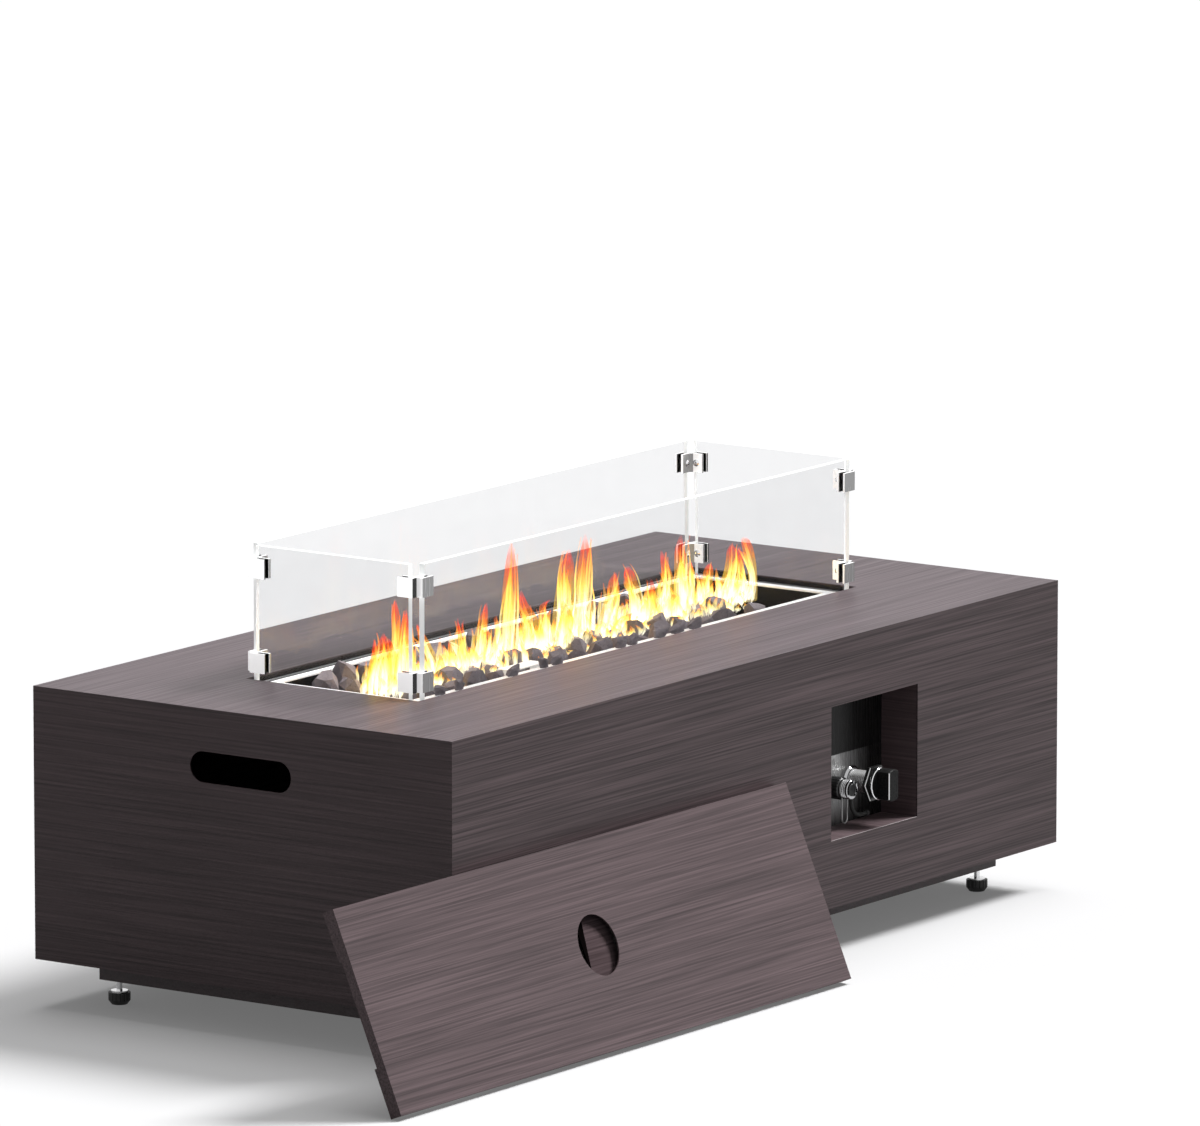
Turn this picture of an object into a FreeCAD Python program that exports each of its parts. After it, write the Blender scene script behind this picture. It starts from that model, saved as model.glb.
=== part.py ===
import FreeCAD, Part
import math
import os
from types import SimpleNamespace

import Sketcher

# Low rectangular fire pit table, in millimetres.
# The origin is on the floor under the middle of the table: +X to the right along the long side,
# +Y to the back, +Z up. The control recess is in the front face, and the lid leans on that face.

SIZES = {
    # casing
    "table_length": 1067,
    "table_width": 506,
    "body_height": 274,
    "floor_gap": 48,
    "sheet": 1.5,
    "post_leg": 25,
    "post_wall": 2,
    "hand_slot_length": 122,
    "hand_slot_height": 31,
    "hand_slot_up": 216,
    "vent_length": 90,
    "vent_width": 12,
    "vent_pitch": 130,
    "vent_count": 4,
    "vent_rows_apart": 200,
    # opening, ledge and burner pan
    "opening_length": 766,
    "opening_width": 209,
    "ledge_drop": 6,
    "ledge_sheet": 2,
    "ledge_overlap": 20,
    "pan_inset": 24,
    "pan_flange": 10,
    "pan_wall": 1.2,
    "pan_depth": 50,
    "pan_gap": 0.5,
    # burner, pilot and lava rock
    "burner_length": 690,
    "burner_radius": 11,
    "burner_wall": 1.5,
    "burner_lift": 14,
    "port_radius": 1.5,
    "port_pitch": 21,
    "port_side": 6,
    "saddle_length": 16,
    "saddle_width": 34,
    "saddle_in": 70,
    "fit_gap": 0.1,
    "feed_radius": 6.5,
    "feed_bore": 5,
    "feed_bend": 40,
    "feed_nut_radius": 11,
    "feed_nut_height": 9,
    "pilot_length": 57,
    "pilot_width": 18,
    "pilot_x": -144.5,
    "pilot_y": -57,
    "pilot_sheet": 1.2,
    "probe_spread": 21,
    "ceramic_radius": 3.5,
    "ceramic_height": 32,
    "ceramic_taper": 4,
    "spark_tip_radius": 0.8,
    "spark_tip_length": 16,
    "probe_radius": 2.4,
    "probe_height": 40,
    "probe_taper": 8,
    "probe_sink": 20,
    "rock_pitch_long": 36,
    "rock_pitch_cross": 32,
    "rock_gap": 1,
    "rock_height": 58,
    "rock_uneven": 8,
    "rock_end_margin": 26,
    "rock_bed_right": 236,
    "loose_rock_x": 262,
    "edge_stone_height": 9,
    # plinth and levelling feet
    "plinth_inset": 45,
    "plinth_height": 23,
    "plinth_rail": 28,
    "foot_cap_radius": 11,
    "foot_cap_height": 12,
    "foot_tip_radius": 8,
    "foot_tip_height": 4,
    "foot_groove_radius": 1.1,
    "foot_grooves": 16,
    "washer_radius": 8.5,
    "washer_height": 1.8,
    "stud_radius": 3,
    "stud_sink": 8,
    "stud_top": 40,
    "thread_gap": 0.05,
    "insert_flats": 13,
    "insert_height": 9,
    # control recess
    "window_left": 118,
    "window_up": 69,
    "window_width": 156,
    "window_height": 137,
    "recess_depth": 44,
    "recess_flange": 10,
    "panel_screw_radius": 2,
    "panel_screw_head": 3.6,
    "panel_screw_head_height": 2.2,
    "panel_screw_length": 7,
    # gas valve and its knob
    "valve_in": 100.5,
    "valve_up": 42,
    "valve_body_radius": 16,
    "valve_body_length": 60,
    "valve_tail_radius": 11,
    "valve_chamfer": 3,
    "neck_radius": 11.4,
    "neck_length": 31,
    "bell_radius": 15,
    "bell_rim": 1.5,
    "bell_throat": 13,
    "bell_length": 5,
    "valve_nut_flats": 34,
    "valve_nut_height": 4.5,
    "plug_radius": 8,
    "plug_length": 22,
    "plug_depth": 8,
    "stem_radius": 4,
    "tongue_width": 5,
    "tongue_thick": 2.4,
    "tongue_length": 12,
    "tongue_gap": 0.3,
    "tongue_play": 1,
    "plug_play": 0.2,
    "push_travel": 3,
    "knob_gap": 0.5,
    "dial_radius": 16.6,
    "dial_height": 2.2,
    "dial_bevel": 0.6,
    "trim_height": 1.4,
    "trim_radius": 15.6,
    "grip_width": 17,
    "grip_radius": 16.2,
    "grip_height": 14.5,
    "grip_bevel": 0.8,
    "knob_bore_depth": 9,
    "inlet_boss_in": 12,
    "inlet_boss_radius": 9.5,
    "inlet_boss_length": 22,
    "inlet_bore_from": 3,
    "inlet_radius": 5,
    "inlet_bore": 3.8,
    "inlet_thread_radius": 7.94,
    "inlet_thread_length": 12,
    "inlet_neck_radius": 7.1,
    "inlet_neck_length": 1,
    "inlet_flange_radius": 12,
    "inlet_flange_height": 6,
    # igniter and the lighting rod holder that hangs on it
    "igniter_in": 66,
    "igniter_up": 40,
    "igniter_body_radius": 11,
    "igniter_body_length": 42,
    "igniter_bevel": 2,
    "barrel_radius": 8,
    "barrel_length": 24.2,
    "collar_radius": 9.2,
    "collar_start": 17,
    "collar_lip": 1,
    "bezel_length": 2,
    "bezel_bevel": 0.6,
    "ridge_radius": 10,
    "ridge_width": 1.2,
    "ridge_pitch": 1.9,
    "ridges": 3,
    "igniter_nut_radius": 11.5,
    "igniter_nut_height": 14.5,
    "igniter_nut_bevel": 1.5,
    "igniter_groove_from": 2,
    "igniter_groove": 0.9,
    "igniter_grooves": 20,
    "button_radius": 6.2,
    "button_gap": 0.35,
    "button_proud": 1.5,
    "button_travel": 3.5,
    "button_length": 20,
    "button_round": 1,
    "button_play": 0.5,
    "holder_ring_radius": 9,
    "holder_wire_radius": 0.7,
    "holder_leg_gap": 9.5,
    "holder_leg_length": 22.7,
    "holder_forward": 15.8,
    "hook_radius": 2.1,
    "hook_forward": 23.5,
    "hook_stem": 2,
    "hook_bend": 16,
    "hook_tail": 10,
    "hook_tip_radius": 2.8,
    "hook_tip_length": 4,
    # glass wind guard
    "glass_end_gap": 1,
    "glass_side_gap": 1,
    "glass_height": 140,
    "glass_thick": 6,
    "glass_setback": 11,
    "clamp_arm": 23,
    "clamp_start": 4.5,
    "clamp_outer": 2,
    "clamp_inner": 2.5,
    "clamp_bevel": 3,
    "clamp_pad": 0.5,
    "clamp_height": 19.5,
    "clamp_below_top": 13,
    "clamp_above_foot": 13,
    "clamp_slot_gap": 0.5,
    "clamp_screw_radius": 1.8,
    "clamp_screw_head": 3.6,
    "clamp_screw_head_height": 2,
    "clamp_screw_in": 16,
    # lid, leaning on the front face
    "lid_gap": 1.5,
    "lid_flange": 10,
    "lid_sheet": 1.5,
    "lid_lean_angle": 22.65,
    "lid_x": -363,
    "lid_face_gap": 0.5,
    "lid_tab_length": 50,
    "lid_tab_drop": 3,
    "finger_hole_radius": 31,
    "finger_plate_reach": 36,
    "finger_plate_drop": 8,
    "finger_cut_half": 22,
    "finger_cut_from": 15,
}

# Stones that lie on the burner pan's front edge: the place along X and the length of each
EDGE_STONES = ((-322, 22), (-290, 18), (-199, 24), (-146, 16), (-124, 24), (-13, 20), (8, 20),
               (56, 26), (86, 30), (117, 26))

doc = FreeCAD.newDocument("fire_pit_table")
sheet = doc.addObject("Spreadsheet::Sheet", "sizes")


class Size:
    """A number together with the sheet expression that it comes from."""

    def __init__(self, number, text):
        self.number = number
        self.text = text

    def __add__(self, other):
        return Size(self.number + number_of(other), f"({self.text} + {text_of(other)})")

    def __radd__(self, other):
        return Size(number_of(other) + self.number, f"({text_of(other)} + {self.text})")

    def __sub__(self, other):
        return Size(self.number - number_of(other), f"({self.text} - {text_of(other)})")

    def __rsub__(self, other):
        return Size(number_of(other) - self.number, f"({text_of(other)} - {self.text})")

    def __mul__(self, other):
        return Size(self.number * number_of(other), f"({self.text} * {text_of(other)})")

    def __rmul__(self, other):
        return Size(number_of(other) * self.number, f"({text_of(other)} * {self.text})")

    def __truediv__(self, other):
        return Size(self.number / number_of(other), f"({self.text} / {text_of(other)})")

    def __neg__(self):
        return Size(-self.number, f"(-{self.text})")


def number_of(value):
    return value.number if isinstance(value, Size) else value


def text_of(value):
    return value.text if isinstance(value, Size) else str(value)


def sine(angle):
    return Size(math.sin(math.radians(angle.number)), f"sin({angle.text})")


def cosine(angle):
    return Size(math.cos(math.radians(angle.number)), f"cos({angle.text})")


def other_leg(longest, leg):
    """Gives the third side of a right-angled triangle."""
    return Size(math.sqrt(longest.number ** 2 - leg.number ** 2),
                f"sqrt({longest.text}^2 - {leg.text}^2)")


def fill_sheet():
    """Writes each size into its own cell, with its name as the alias."""
    named = {}
    for row, (name, number) in enumerate(SIZES.items(), start=1):
        sheet.set(f"A{row}", name)
        sheet.set(f"B{row}", str(number))
        sheet.setAlias(f"B{row}", name)
        named[name] = Size(float(number), f"sizes.{name}")
    doc.recompute()
    return SimpleNamespace(**named)


v = fill_sheet()
pieces = {}


def bind(item, prop, value):
    """Sets a property from the sheet, or to a plain number."""
    item.setExpression(prop, text_of(value))


def keep(label, item):
    """Names a finished piece, whose label is also its file's name."""
    item.Label = label
    pieces[label] = item
    return item


AXIS = {"x": FreeCAD.Vector(1, 0, 0), "y": FreeCAD.Vector(0, 1, 0), "z": FreeCAD.Vector(0, 0, 1)}


def place(item, x=0, y=0, z=0, turn=None, angle=0):
    """Puts an item at a point, turned about one of the frame's axes."""
    axis = AXIS[turn or "z"]
    item.Placement = FreeCAD.Placement(FreeCAD.Vector(), FreeCAD.Rotation(axis, number_of(angle)))
    bind(item, "Placement.Base.x", x)
    bind(item, "Placement.Base.y", y)
    bind(item, "Placement.Base.z", z)
    if isinstance(angle, Size):
        bind(item, "Placement.Rotation.Angle", angle)
    return item


def new_body(name):
    body = doc.addObject("PartDesign::Body", name)
    return body


def origin_plane(body, role):
    return next(item for item in body.Origin.OriginFeatures if item.Role == role)


def new_sketch(body, plane, height):
    """Makes an empty sketch on one of the body's own planes, moved along the plane's normal."""
    sketch = body.newObject("Sketcher::SketchObject", body.Name + "_sketch")
    sketch.AttachmentSupport = [(origin_plane(body, plane + "_Plane"), "")]
    sketch.MapMode = "FlatFace"
    bind(sketch, "AttachmentOffset.Base.z", height)
    return sketch


def hold(sketch, kind, where, value):
    """Adds one dimension to a sketch and ties it to the sheet."""
    index = sketch.addConstraint(Sketcher.Constraint(kind, *where, number_of(value)))
    if isinstance(value, Size):
        sketch.setExpression(f"Constraints[{index}]", value.text)


def pin_point(sketch, geometry, position, x, y):
    """Holds a sketch point at its distances from the sketch's origin."""
    hold(sketch, "DistanceX", (-1, 1, geometry, position), x)
    hold(sketch, "DistanceY", (-1, 1, geometry, position), y)


def arc_between(start, end, radius):
    """Gives the arc from start to end; a positive radius turns left, a negative one right."""
    chord = end - start
    middle = (start + end) / 2
    side = FreeCAD.Vector(-chord.y, chord.x, 0).normalize()
    rise = math.sqrt(max(radius * radius - chord.Length ** 2 / 4, 0))
    centre = middle + side * (rise if radius > 0 else -rise)
    first, last = (start, end) if radius > 0 else (end, start)
    angles = [math.atan2(point.y - centre.y, point.x - centre.x) for point in (first, last)]
    circle = Part.Circle(centre, FreeCAD.Vector(0, 0, 1), abs(radius))
    return Part.ArcOfCircle(circle, angles[0], angles[1])


def add_chain(sketch, points, closed=True):
    """Draws a line of points. A point is (x, y), or (x, y, radius) when an arc leads to it."""
    corners = [FreeCAD.Vector(number_of(p[0]), number_of(p[1]), 0) for p in points]
    links = []
    for index in range(0 if closed else 1, len(points)):
        point = points[index]
        start = corners[index - 1]
        end = corners[index]
        if len(point) == 2:
            links.append((sketch.addGeometry(Part.LineSegment(start, end), False), 1, 2))
            continue
        radius = point[2]
        left = number_of(radius) > 0
        geometry = sketch.addGeometry(arc_between(start, end, number_of(radius)), False)
        links.append((geometry, 1, 2) if left else (geometry, 2, 1))
        chord = end - start
        if abs(chord.Length - 2 * abs(number_of(radius))) > 0.001:
            hold(sketch, "Radius", (geometry,), radius if left else -radius)
        elif abs(chord.x) < abs(chord.y):
            hold(sketch, "DistanceX", (-1, 1, geometry, 3), point[0])
        else:
            hold(sketch, "DistanceY", (-1, 1, geometry, 3), point[1])
    for index, (geometry, start, end) in enumerate(links):
        point = points[index if closed else index + 1]
        pin_point(sketch, geometry, end, point[0], point[1])
        if closed or index > 0:
            before = links[index - 1]
            sketch.addConstraint(
                Sketcher.Constraint("Coincident", before[0], before[2], geometry, start))
        else:
            pin_point(sketch, geometry, start, points[0][0], points[0][1])


def add_circle(sketch, x, y, radius):
    centre = FreeCAD.Vector(number_of(x), number_of(y), 0)
    circle = Part.Circle(centre, FreeCAD.Vector(0, 0, 1), number_of(radius))
    geometry = sketch.addGeometry(circle, False)
    hold(sketch, "Radius", (geometry,), radius)
    pin_point(sketch, geometry, 3, x, y)


def rectangle(x_low, x_high, y_low, y_high):
    return [(x_low, y_low), (x_high, y_low), (x_high, y_high), (x_low, y_high)]


def centred(length, width, x=0, y=0):
    return rectangle(x - length / 2, x + length / 2, y - width / 2, y + width / 2)


def stadium(x, y, length, height):
    """A slot outline with half-round ends."""
    reach = (length - height) / 2
    radius = height / 2
    return [(x - reach, y - radius, radius), (x + reach, y - radius),
            (x + reach, y + radius, radius), (x - reach, y + radius)]


def pipe(body, path_place, points, section_place, circles):
    """Runs round sections along an open path. A place is a plane and a height along its normal."""
    path = new_sketch(body, *path_place)
    add_chain(path, points, closed=False)
    section = new_sketch(body, *section_place)
    draw(section, circles)
    feature = body.newObject("PartDesign::AdditivePipe", body.Name + "_pipe")
    feature.Profile = section
    feature.Spine = path
    return feature


def draw(sketch, outlines):
    """Draws each outline: a list is a loop of points, a tuple is a circle."""
    for outline in outlines:
        if isinstance(outline, tuple):
            add_circle(sketch, *outline)
        else:
            add_chain(sketch, outline)


def pad(body, plane, outlines, start, length, taper=0):
    """Adds material along the plane's normal, from the start to the start plus the length."""
    sketch = new_sketch(body, plane, start)
    draw(sketch, outlines)
    feature = body.newObject("PartDesign::Pad", body.Name + "_pad")
    feature.Profile = sketch
    feature.TaperAngle = taper
    bind(feature, "Length", length)
    return feature


def pocket(body, plane, outlines, start, length):
    """Cuts along the plane's normal, and stops if nothing was cut."""
    doc.recompute()
    before = body.Shape.Volume
    sketch = new_sketch(body, plane, start)
    draw(sketch, outlines)
    feature = body.newObject("PartDesign::Pocket", body.Name + "_pocket")
    feature.Profile = sketch
    feature.Reversed = True
    bind(feature, "Length", length)
    doc.recompute()
    if not feature.Shape.Volume < before:
        raise RuntimeError(f"a cut in {body.Name} removed nothing")
    return feature


def turned(body, outline):
    """Turns an outline of radius and height about the body's own Z axis."""
    sketch = new_sketch(body, "XZ", 0)
    draw(sketch, [outline])
    feature = body.newObject("PartDesign::Revolution", body.Name + "_turn")
    feature.Profile = sketch
    feature.ReferenceAxis = (sketch, ["V_Axis"])
    feature.Angle = 360
    return feature


def bevel_top(body, feature, reach):
    """Cuts a small bevel along the edges of a feature's highest face."""
    doc.recompute()
    top = feature.Shape.BoundBox.ZMax
    edges = [f"Edge{index}" for index, edge in enumerate(feature.Shape.Edges, start=1)
             if all(abs(vertex.Z - top) < 0.01 for vertex in edge.Vertexes)]
    bevel = body.newObject("PartDesign::Chamfer", body.Name + "_bevel")
    bevel.Base = (feature, edges)
    bind(bevel, "Size", reach)
    return bevel


def repeat_round(body, feature, count):
    """Repeats a cut around the body's Z axis."""
    axis = next(item for item in body.Origin.OriginFeatures if item.Role == "Z_Axis")
    pattern = body.newObject("PartDesign::PolarPattern", body.Name + "_ring")
    pattern.Originals = [feature]
    pattern.Axis = (axis, [""])
    pattern.Angle = 360
    bind(pattern, "Occurrences", count)
    body.Tip = pattern
    return pattern


def repeat_along(body, feature, role, reach, count):
    """Repeats a feature along one of the body's axes, over a total reach."""
    axis = next(item for item in body.Origin.OriginFeatures if item.Role == role)
    pattern = body.newObject("PartDesign::LinearPattern", body.Name + "_row")
    pattern.Originals = [feature]
    pattern.Direction = (axis, [""])
    pattern.Mode = "Extent"
    bind(pattern, "Length", reach)
    bind(pattern, "Occurrences", count)
    body.Tip = pattern
    return pattern


# Levels and places that several pieces share
body_bottom = v.floor_gap
table_top = v.floor_gap + v.body_height
under_top = table_top - v.sheet
base_top = body_bottom + v.sheet
ledge_top = table_top - v.ledge_drop
pan_floor = ledge_top - v.pan_depth
front_face = v.table_width / 2
end_face = v.table_length / 2
window_right = v.window_left + v.window_width
window_bottom = body_bottom + v.window_up
window_top = window_bottom + v.window_height
panel_front = front_face - v.recess_depth
panel_back = panel_front - v.sheet
valve_x = v.window_left + v.valve_in
valve_z = window_bottom + v.valve_up
igniter_x = v.window_left + v.igniter_in
igniter_z = window_bottom + v.igniter_up
pan_inner_length = v.opening_length - 2 * v.pan_inset
pan_inner_width = v.opening_width - 2 * v.pan_inset
plinth_bottom = body_bottom - v.plinth_height
foot_x = end_face - v.plinth_inset - v.plinth_rail / 2
foot_y = front_face - v.plinth_inset - v.plinth_rail / 2
burner_z = pan_floor + v.burner_lift
glass_length = v.opening_length - 2 * v.glass_end_gap
glass_width = v.opening_width - 2 * v.glass_side_gap
inlet_y = -panel_back + v.valve_body_length - v.inlet_boss_in


def mitred_panel(name, length, width):
    """A flat sheet whose edges are cut at 45 degrees. Its outer face is at z = 0, facing up."""
    body = new_body(name)
    feature = pad(body, "XY", [centred(length, width)], 0, v.sheet, taper=-45)
    feature.Reversed = True
    return body


def casing():
    """Six mitred sheets that meet at crisp edges, with no seam on a face."""
    top = mitred_panel("top_panel", v.table_length, v.table_width)
    pocket(top, "XY", [centred(v.opening_length, v.opening_width)], -v.sheet, v.sheet)
    keep("top_panel", place(top, z=table_top))

    base = mitred_panel("base_plate", v.table_length, v.table_width)
    reach = (v.vent_count - 1) * v.vent_pitch
    for side in (-1, 1):
        outline = stadium(-reach / 2, side * v.vent_rows_apart / 2, v.vent_length, v.vent_width)
        vent = pocket(base, "XY", [outline], -v.sheet, v.sheet)
        repeat_along(base, vent, "X_Axis", reach, v.vent_count)
    pocket(base, "XY", [(valve_x, -inlet_y, v.inlet_thread_radius + v.fit_gap)], -v.sheet, v.sheet)
    keep("base_plate", place(base, z=body_bottom, turn="x", angle=180))

    middle = body_bottom + v.body_height / 2
    front = mitred_panel("front_panel", v.table_length, v.body_height)
    pocket(front, "XY",
           [rectangle(v.window_left, window_right, window_bottom - middle, window_top - middle)],
           -v.sheet, v.sheet)
    keep("front_panel", place(front, y=-front_face, z=middle, turn="x", angle=90))
    back = mitred_panel("back_panel", v.table_length, v.body_height)
    keep("back_panel", place(back, y=front_face, z=middle, turn="x", angle=-90))

    slot_up = body_bottom + v.hand_slot_up - middle
    for label, side, angle in (("left_end_panel", -1, -90), ("right_end_panel", 1, 90)):
        end = mitred_panel(label, v.body_height, v.table_width)
        pocket(end, "XY",
               [upright_stadium(-side * slot_up, v.hand_slot_height, v.hand_slot_length)],
               -v.sheet, v.sheet)
        keep(label, place(end, x=side * end_face, z=middle, turn="y", angle=angle))


def upright_stadium(x, width, length):
    """A slot outline that runs along the second sketch axis."""
    reach = (length - width) / 2
    radius = width / 2
    return [(x + radius, -reach, radius), (x + radius, reach), (x - radius, reach, radius),
            (x - radius, -reach)]


def corner_posts():
    """Four angle posts that stand in the corners between the base and the top."""
    posts = []
    for turn, (side_x, side_y) in enumerate(((-1, -1), (1, -1), (1, 1), (-1, 1))):
        body = new_body("corner_post")
        leg = v.post_leg
        wall = v.post_wall
        outline = [(0, 0), (leg, 0), (leg, wall), (wall, wall), (wall, leg), (0, leg)]
        pad(body, "XY", [outline], 0, under_top - base_top)
        place(body, x=side_x * (end_face - v.sheet), y=side_y * (front_face - v.sheet), z=base_top,
              turn="z", angle=90 * turn)
        posts.append(body)
    group = doc.addObject("Part::Compound", "corner_posts")
    group.Links = posts
    keep("corner_posts", group)


def ledge_frame():
    """The ledge under the opening, which carries the lid, the glass and the burner pan."""
    body = new_body("ledge_frame")
    outer = centred(v.opening_length + 2 * v.ledge_overlap, v.opening_width + 2 * v.ledge_overlap)
    hole = centred(pan_inner_length + 2 * (v.pan_wall + v.pan_gap),
                   pan_inner_width + 2 * (v.pan_wall + v.pan_gap))
    pad(body, "XY", [outer, hole], ledge_top - v.ledge_sheet, v.ledge_sheet)
    rim = centred(v.opening_length + 2 * v.ledge_sheet, v.opening_width + 2 * v.ledge_sheet)
    pad(body, "XY", [rim, centred(v.opening_length, v.opening_width)], ledge_top,
        v.ledge_drop - v.sheet)
    keep("ledge_frame", body)


def burner_pan():
    """The steel tray that hangs in the ledge by its flange."""
    body = new_body("burner_pan")
    wall_outer = centred(pan_inner_length + 2 * v.pan_wall, pan_inner_width + 2 * v.pan_wall)
    flange = centred(pan_inner_length + 2 * v.pan_flange, pan_inner_width + 2 * v.pan_flange)
    pad(body, "XY", [wall_outer], pan_floor - v.pan_wall, v.pan_depth + 2 * v.pan_wall)
    pad(body, "XY", [flange], ledge_top, v.pan_wall)
    pocket(body, "XY", [centred(pan_inner_length, pan_inner_width)], pan_floor,
           v.pan_depth + v.pan_wall)
    left_probe = v.pilot_x - v.probe_spread / 2
    right_probe = v.pilot_x + v.probe_spread / 2
    pocket(body, "XY", [(valve_x, 0, v.feed_radius + v.fit_gap),
                        (left_probe, v.pilot_y, v.ceramic_radius + v.fit_gap),
                        (right_probe, v.pilot_y, v.probe_radius + v.fit_gap)],
           pan_floor - v.pan_wall, v.pan_wall)
    keep("burner_pan", body)


def burner():
    """A capped tube with a row of gas ports each side of its crown, on two saddles."""
    body = new_body("burner_tube")
    pad(body, "YZ", [(0, burner_z, v.burner_radius)], -v.burner_length / 2, v.burner_length)
    pad(body, "XY", [(valve_x, 0, v.feed_radius)], pan_floor - v.feed_nut_height, v.burner_lift
        + v.feed_nut_height)
    count = int(number_of(v.burner_length) / number_of(v.port_pitch)) - 1
    reach = (count - 1) * v.port_pitch
    pocket(body, "YZ", [(0, burner_z, v.burner_radius - v.burner_wall)],
           -v.burner_length / 2 + v.burner_wall, v.burner_length - 2 * v.burner_wall)
    pocket(body, "XY", [(valve_x, 0, v.feed_bore)], pan_floor - v.feed_nut_height,
           v.burner_lift + v.feed_nut_height)
    for side in (-1, 1):
        port = pocket(body, "XY", [(-reach / 2, side * v.port_side, v.port_radius)], burner_z,
                      v.burner_radius)
        repeat_along(body, port, "X_Axis", reach, count)
    keep("burner_tube", body)

    saddles = []
    for side in (-1, 1):
        saddle = new_body("burner_saddle")
        top = burner_z - v.burner_radius / 2
        half = v.saddle_width / 2
        outline = [(-half, pan_floor), (half, pan_floor), (half, top), (-half, top)]
        middle = side * (v.burner_length / 2 - v.saddle_in)
        pad(saddle, "YZ", [outline], middle - v.saddle_length / 2, v.saddle_length)
        pocket(saddle, "YZ", [(0, burner_z, v.burner_radius + v.fit_gap)],
               middle - v.saddle_length / 2, v.saddle_length)
        saddles.append(saddle)
    group = doc.addObject("Part::Compound", "burner_saddles")
    group.Links = saddles
    keep("burner_saddles", group)


def pilot():
    """The hood over the spark electrode and the flame probe."""
    hood = new_body("pilot_hood")
    half = v.pilot_length / 2
    top = ledge_top
    wall = v.pilot_sheet
    outline = [(v.pilot_x - half, pan_floor), (v.pilot_x - half + wall, pan_floor),
               (v.pilot_x - half + wall, top - wall), (v.pilot_x + half - wall, top - wall),
               (v.pilot_x + half - wall, pan_floor), (v.pilot_x + half, pan_floor),
               (v.pilot_x + half, top), (v.pilot_x - half, top)]
    pad(hood, "XZ", [outline], -v.pilot_y - v.pilot_width / 2, v.pilot_width)
    keep("pilot_hood", hood)

    low = pan_floor - v.probe_sink
    electrode = new_body("spark_electrode")
    tip = v.spark_tip_radius
    tip_low = v.ceramic_height + v.ceramic_taper
    tip_high = tip_low + v.spark_tip_length
    turned(electrode, [(0, 0), (v.ceramic_radius, 0), (v.ceramic_radius, v.ceramic_height),
                       (v.ceramic_radius / 2, tip_low), (tip, tip_low), (tip, tip_high),
                       (0, tip_high)])
    keep("spark_electrode", place(electrode, v.pilot_x - v.probe_spread / 2, v.pilot_y, low))
    probe = new_body("flame_probe")
    probe_high = v.probe_height + v.probe_taper
    turned(probe, [(0, 0), (v.probe_radius, 0), (v.probe_radius, v.probe_height),
                   (v.probe_radius / 2, probe_high), (0, probe_high)])
    keep("flame_probe", place(probe, v.pilot_x + v.probe_spread / 2, v.pilot_y, low))


def rock_shape(x, y, low, radius_x, radius_y, height, seed):
    """An angular lump with a flat underside: rings of corners joined by flat triangles."""
    sides = 6
    turn = 2.1 * seed
    slope_x = 0.35 * math.sin(seed * 4.1)
    slope_y = 0.35 * math.cos(seed * 6.3)
    rings = []
    for level, (share, spread) in enumerate(((0, 0.78), (0.4, 0.96), (0.8, 1.0), (1.0, 0.62))):
        ring = []
        for side in range(sides):
            wobble = math.sin(seed * 12.9 + level * 7.3 + side * 4.7)
            angle = 2 * math.pi * (side + 0.30 * wobble + 0.5 * (level % 2)) / sides + turn
            reach = spread * (0.88 + 0.12 * math.sin(seed * 5.1 + level * 3.7 + side * 9.2))
            tilt = 0 if level in (0, 3) else 0.08 * math.sin(seed * 3.3 + side * 2.9 + level)
            across = reach * radius_x * math.cos(angle)
            along = reach * radius_y * math.sin(angle)
            lift = share * (slope_x * across + slope_y * along)
            ring.append(FreeCAD.Vector(x + across, y + along, low + (share + tilt) * height + lift))
        rings.append(ring)
    faces = [Part.Face(Part.makePolygon(rings[0] + rings[0][:1])),
             Part.Face(Part.makePolygon(rings[-1] + rings[-1][:1]))]
    for level, (lower, upper) in enumerate(zip(rings, rings[1:])):
        for side in range(sides):
            following = (side + 1) % sides
            above = upper[following] if level % 2 else upper[side]
            below = lower[side] if level % 2 else lower[following]
            for corners in ((lower[side], lower[following], above),
                            (upper[side], upper[following], below)):
                faces.append(Part.Face(Part.makePolygon(list(corners) + [corners[0]])))
    solid = Part.Solid(Part.Shell(faces))
    if solid.Volume < 0:
        solid.reverse()
    return solid


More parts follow.
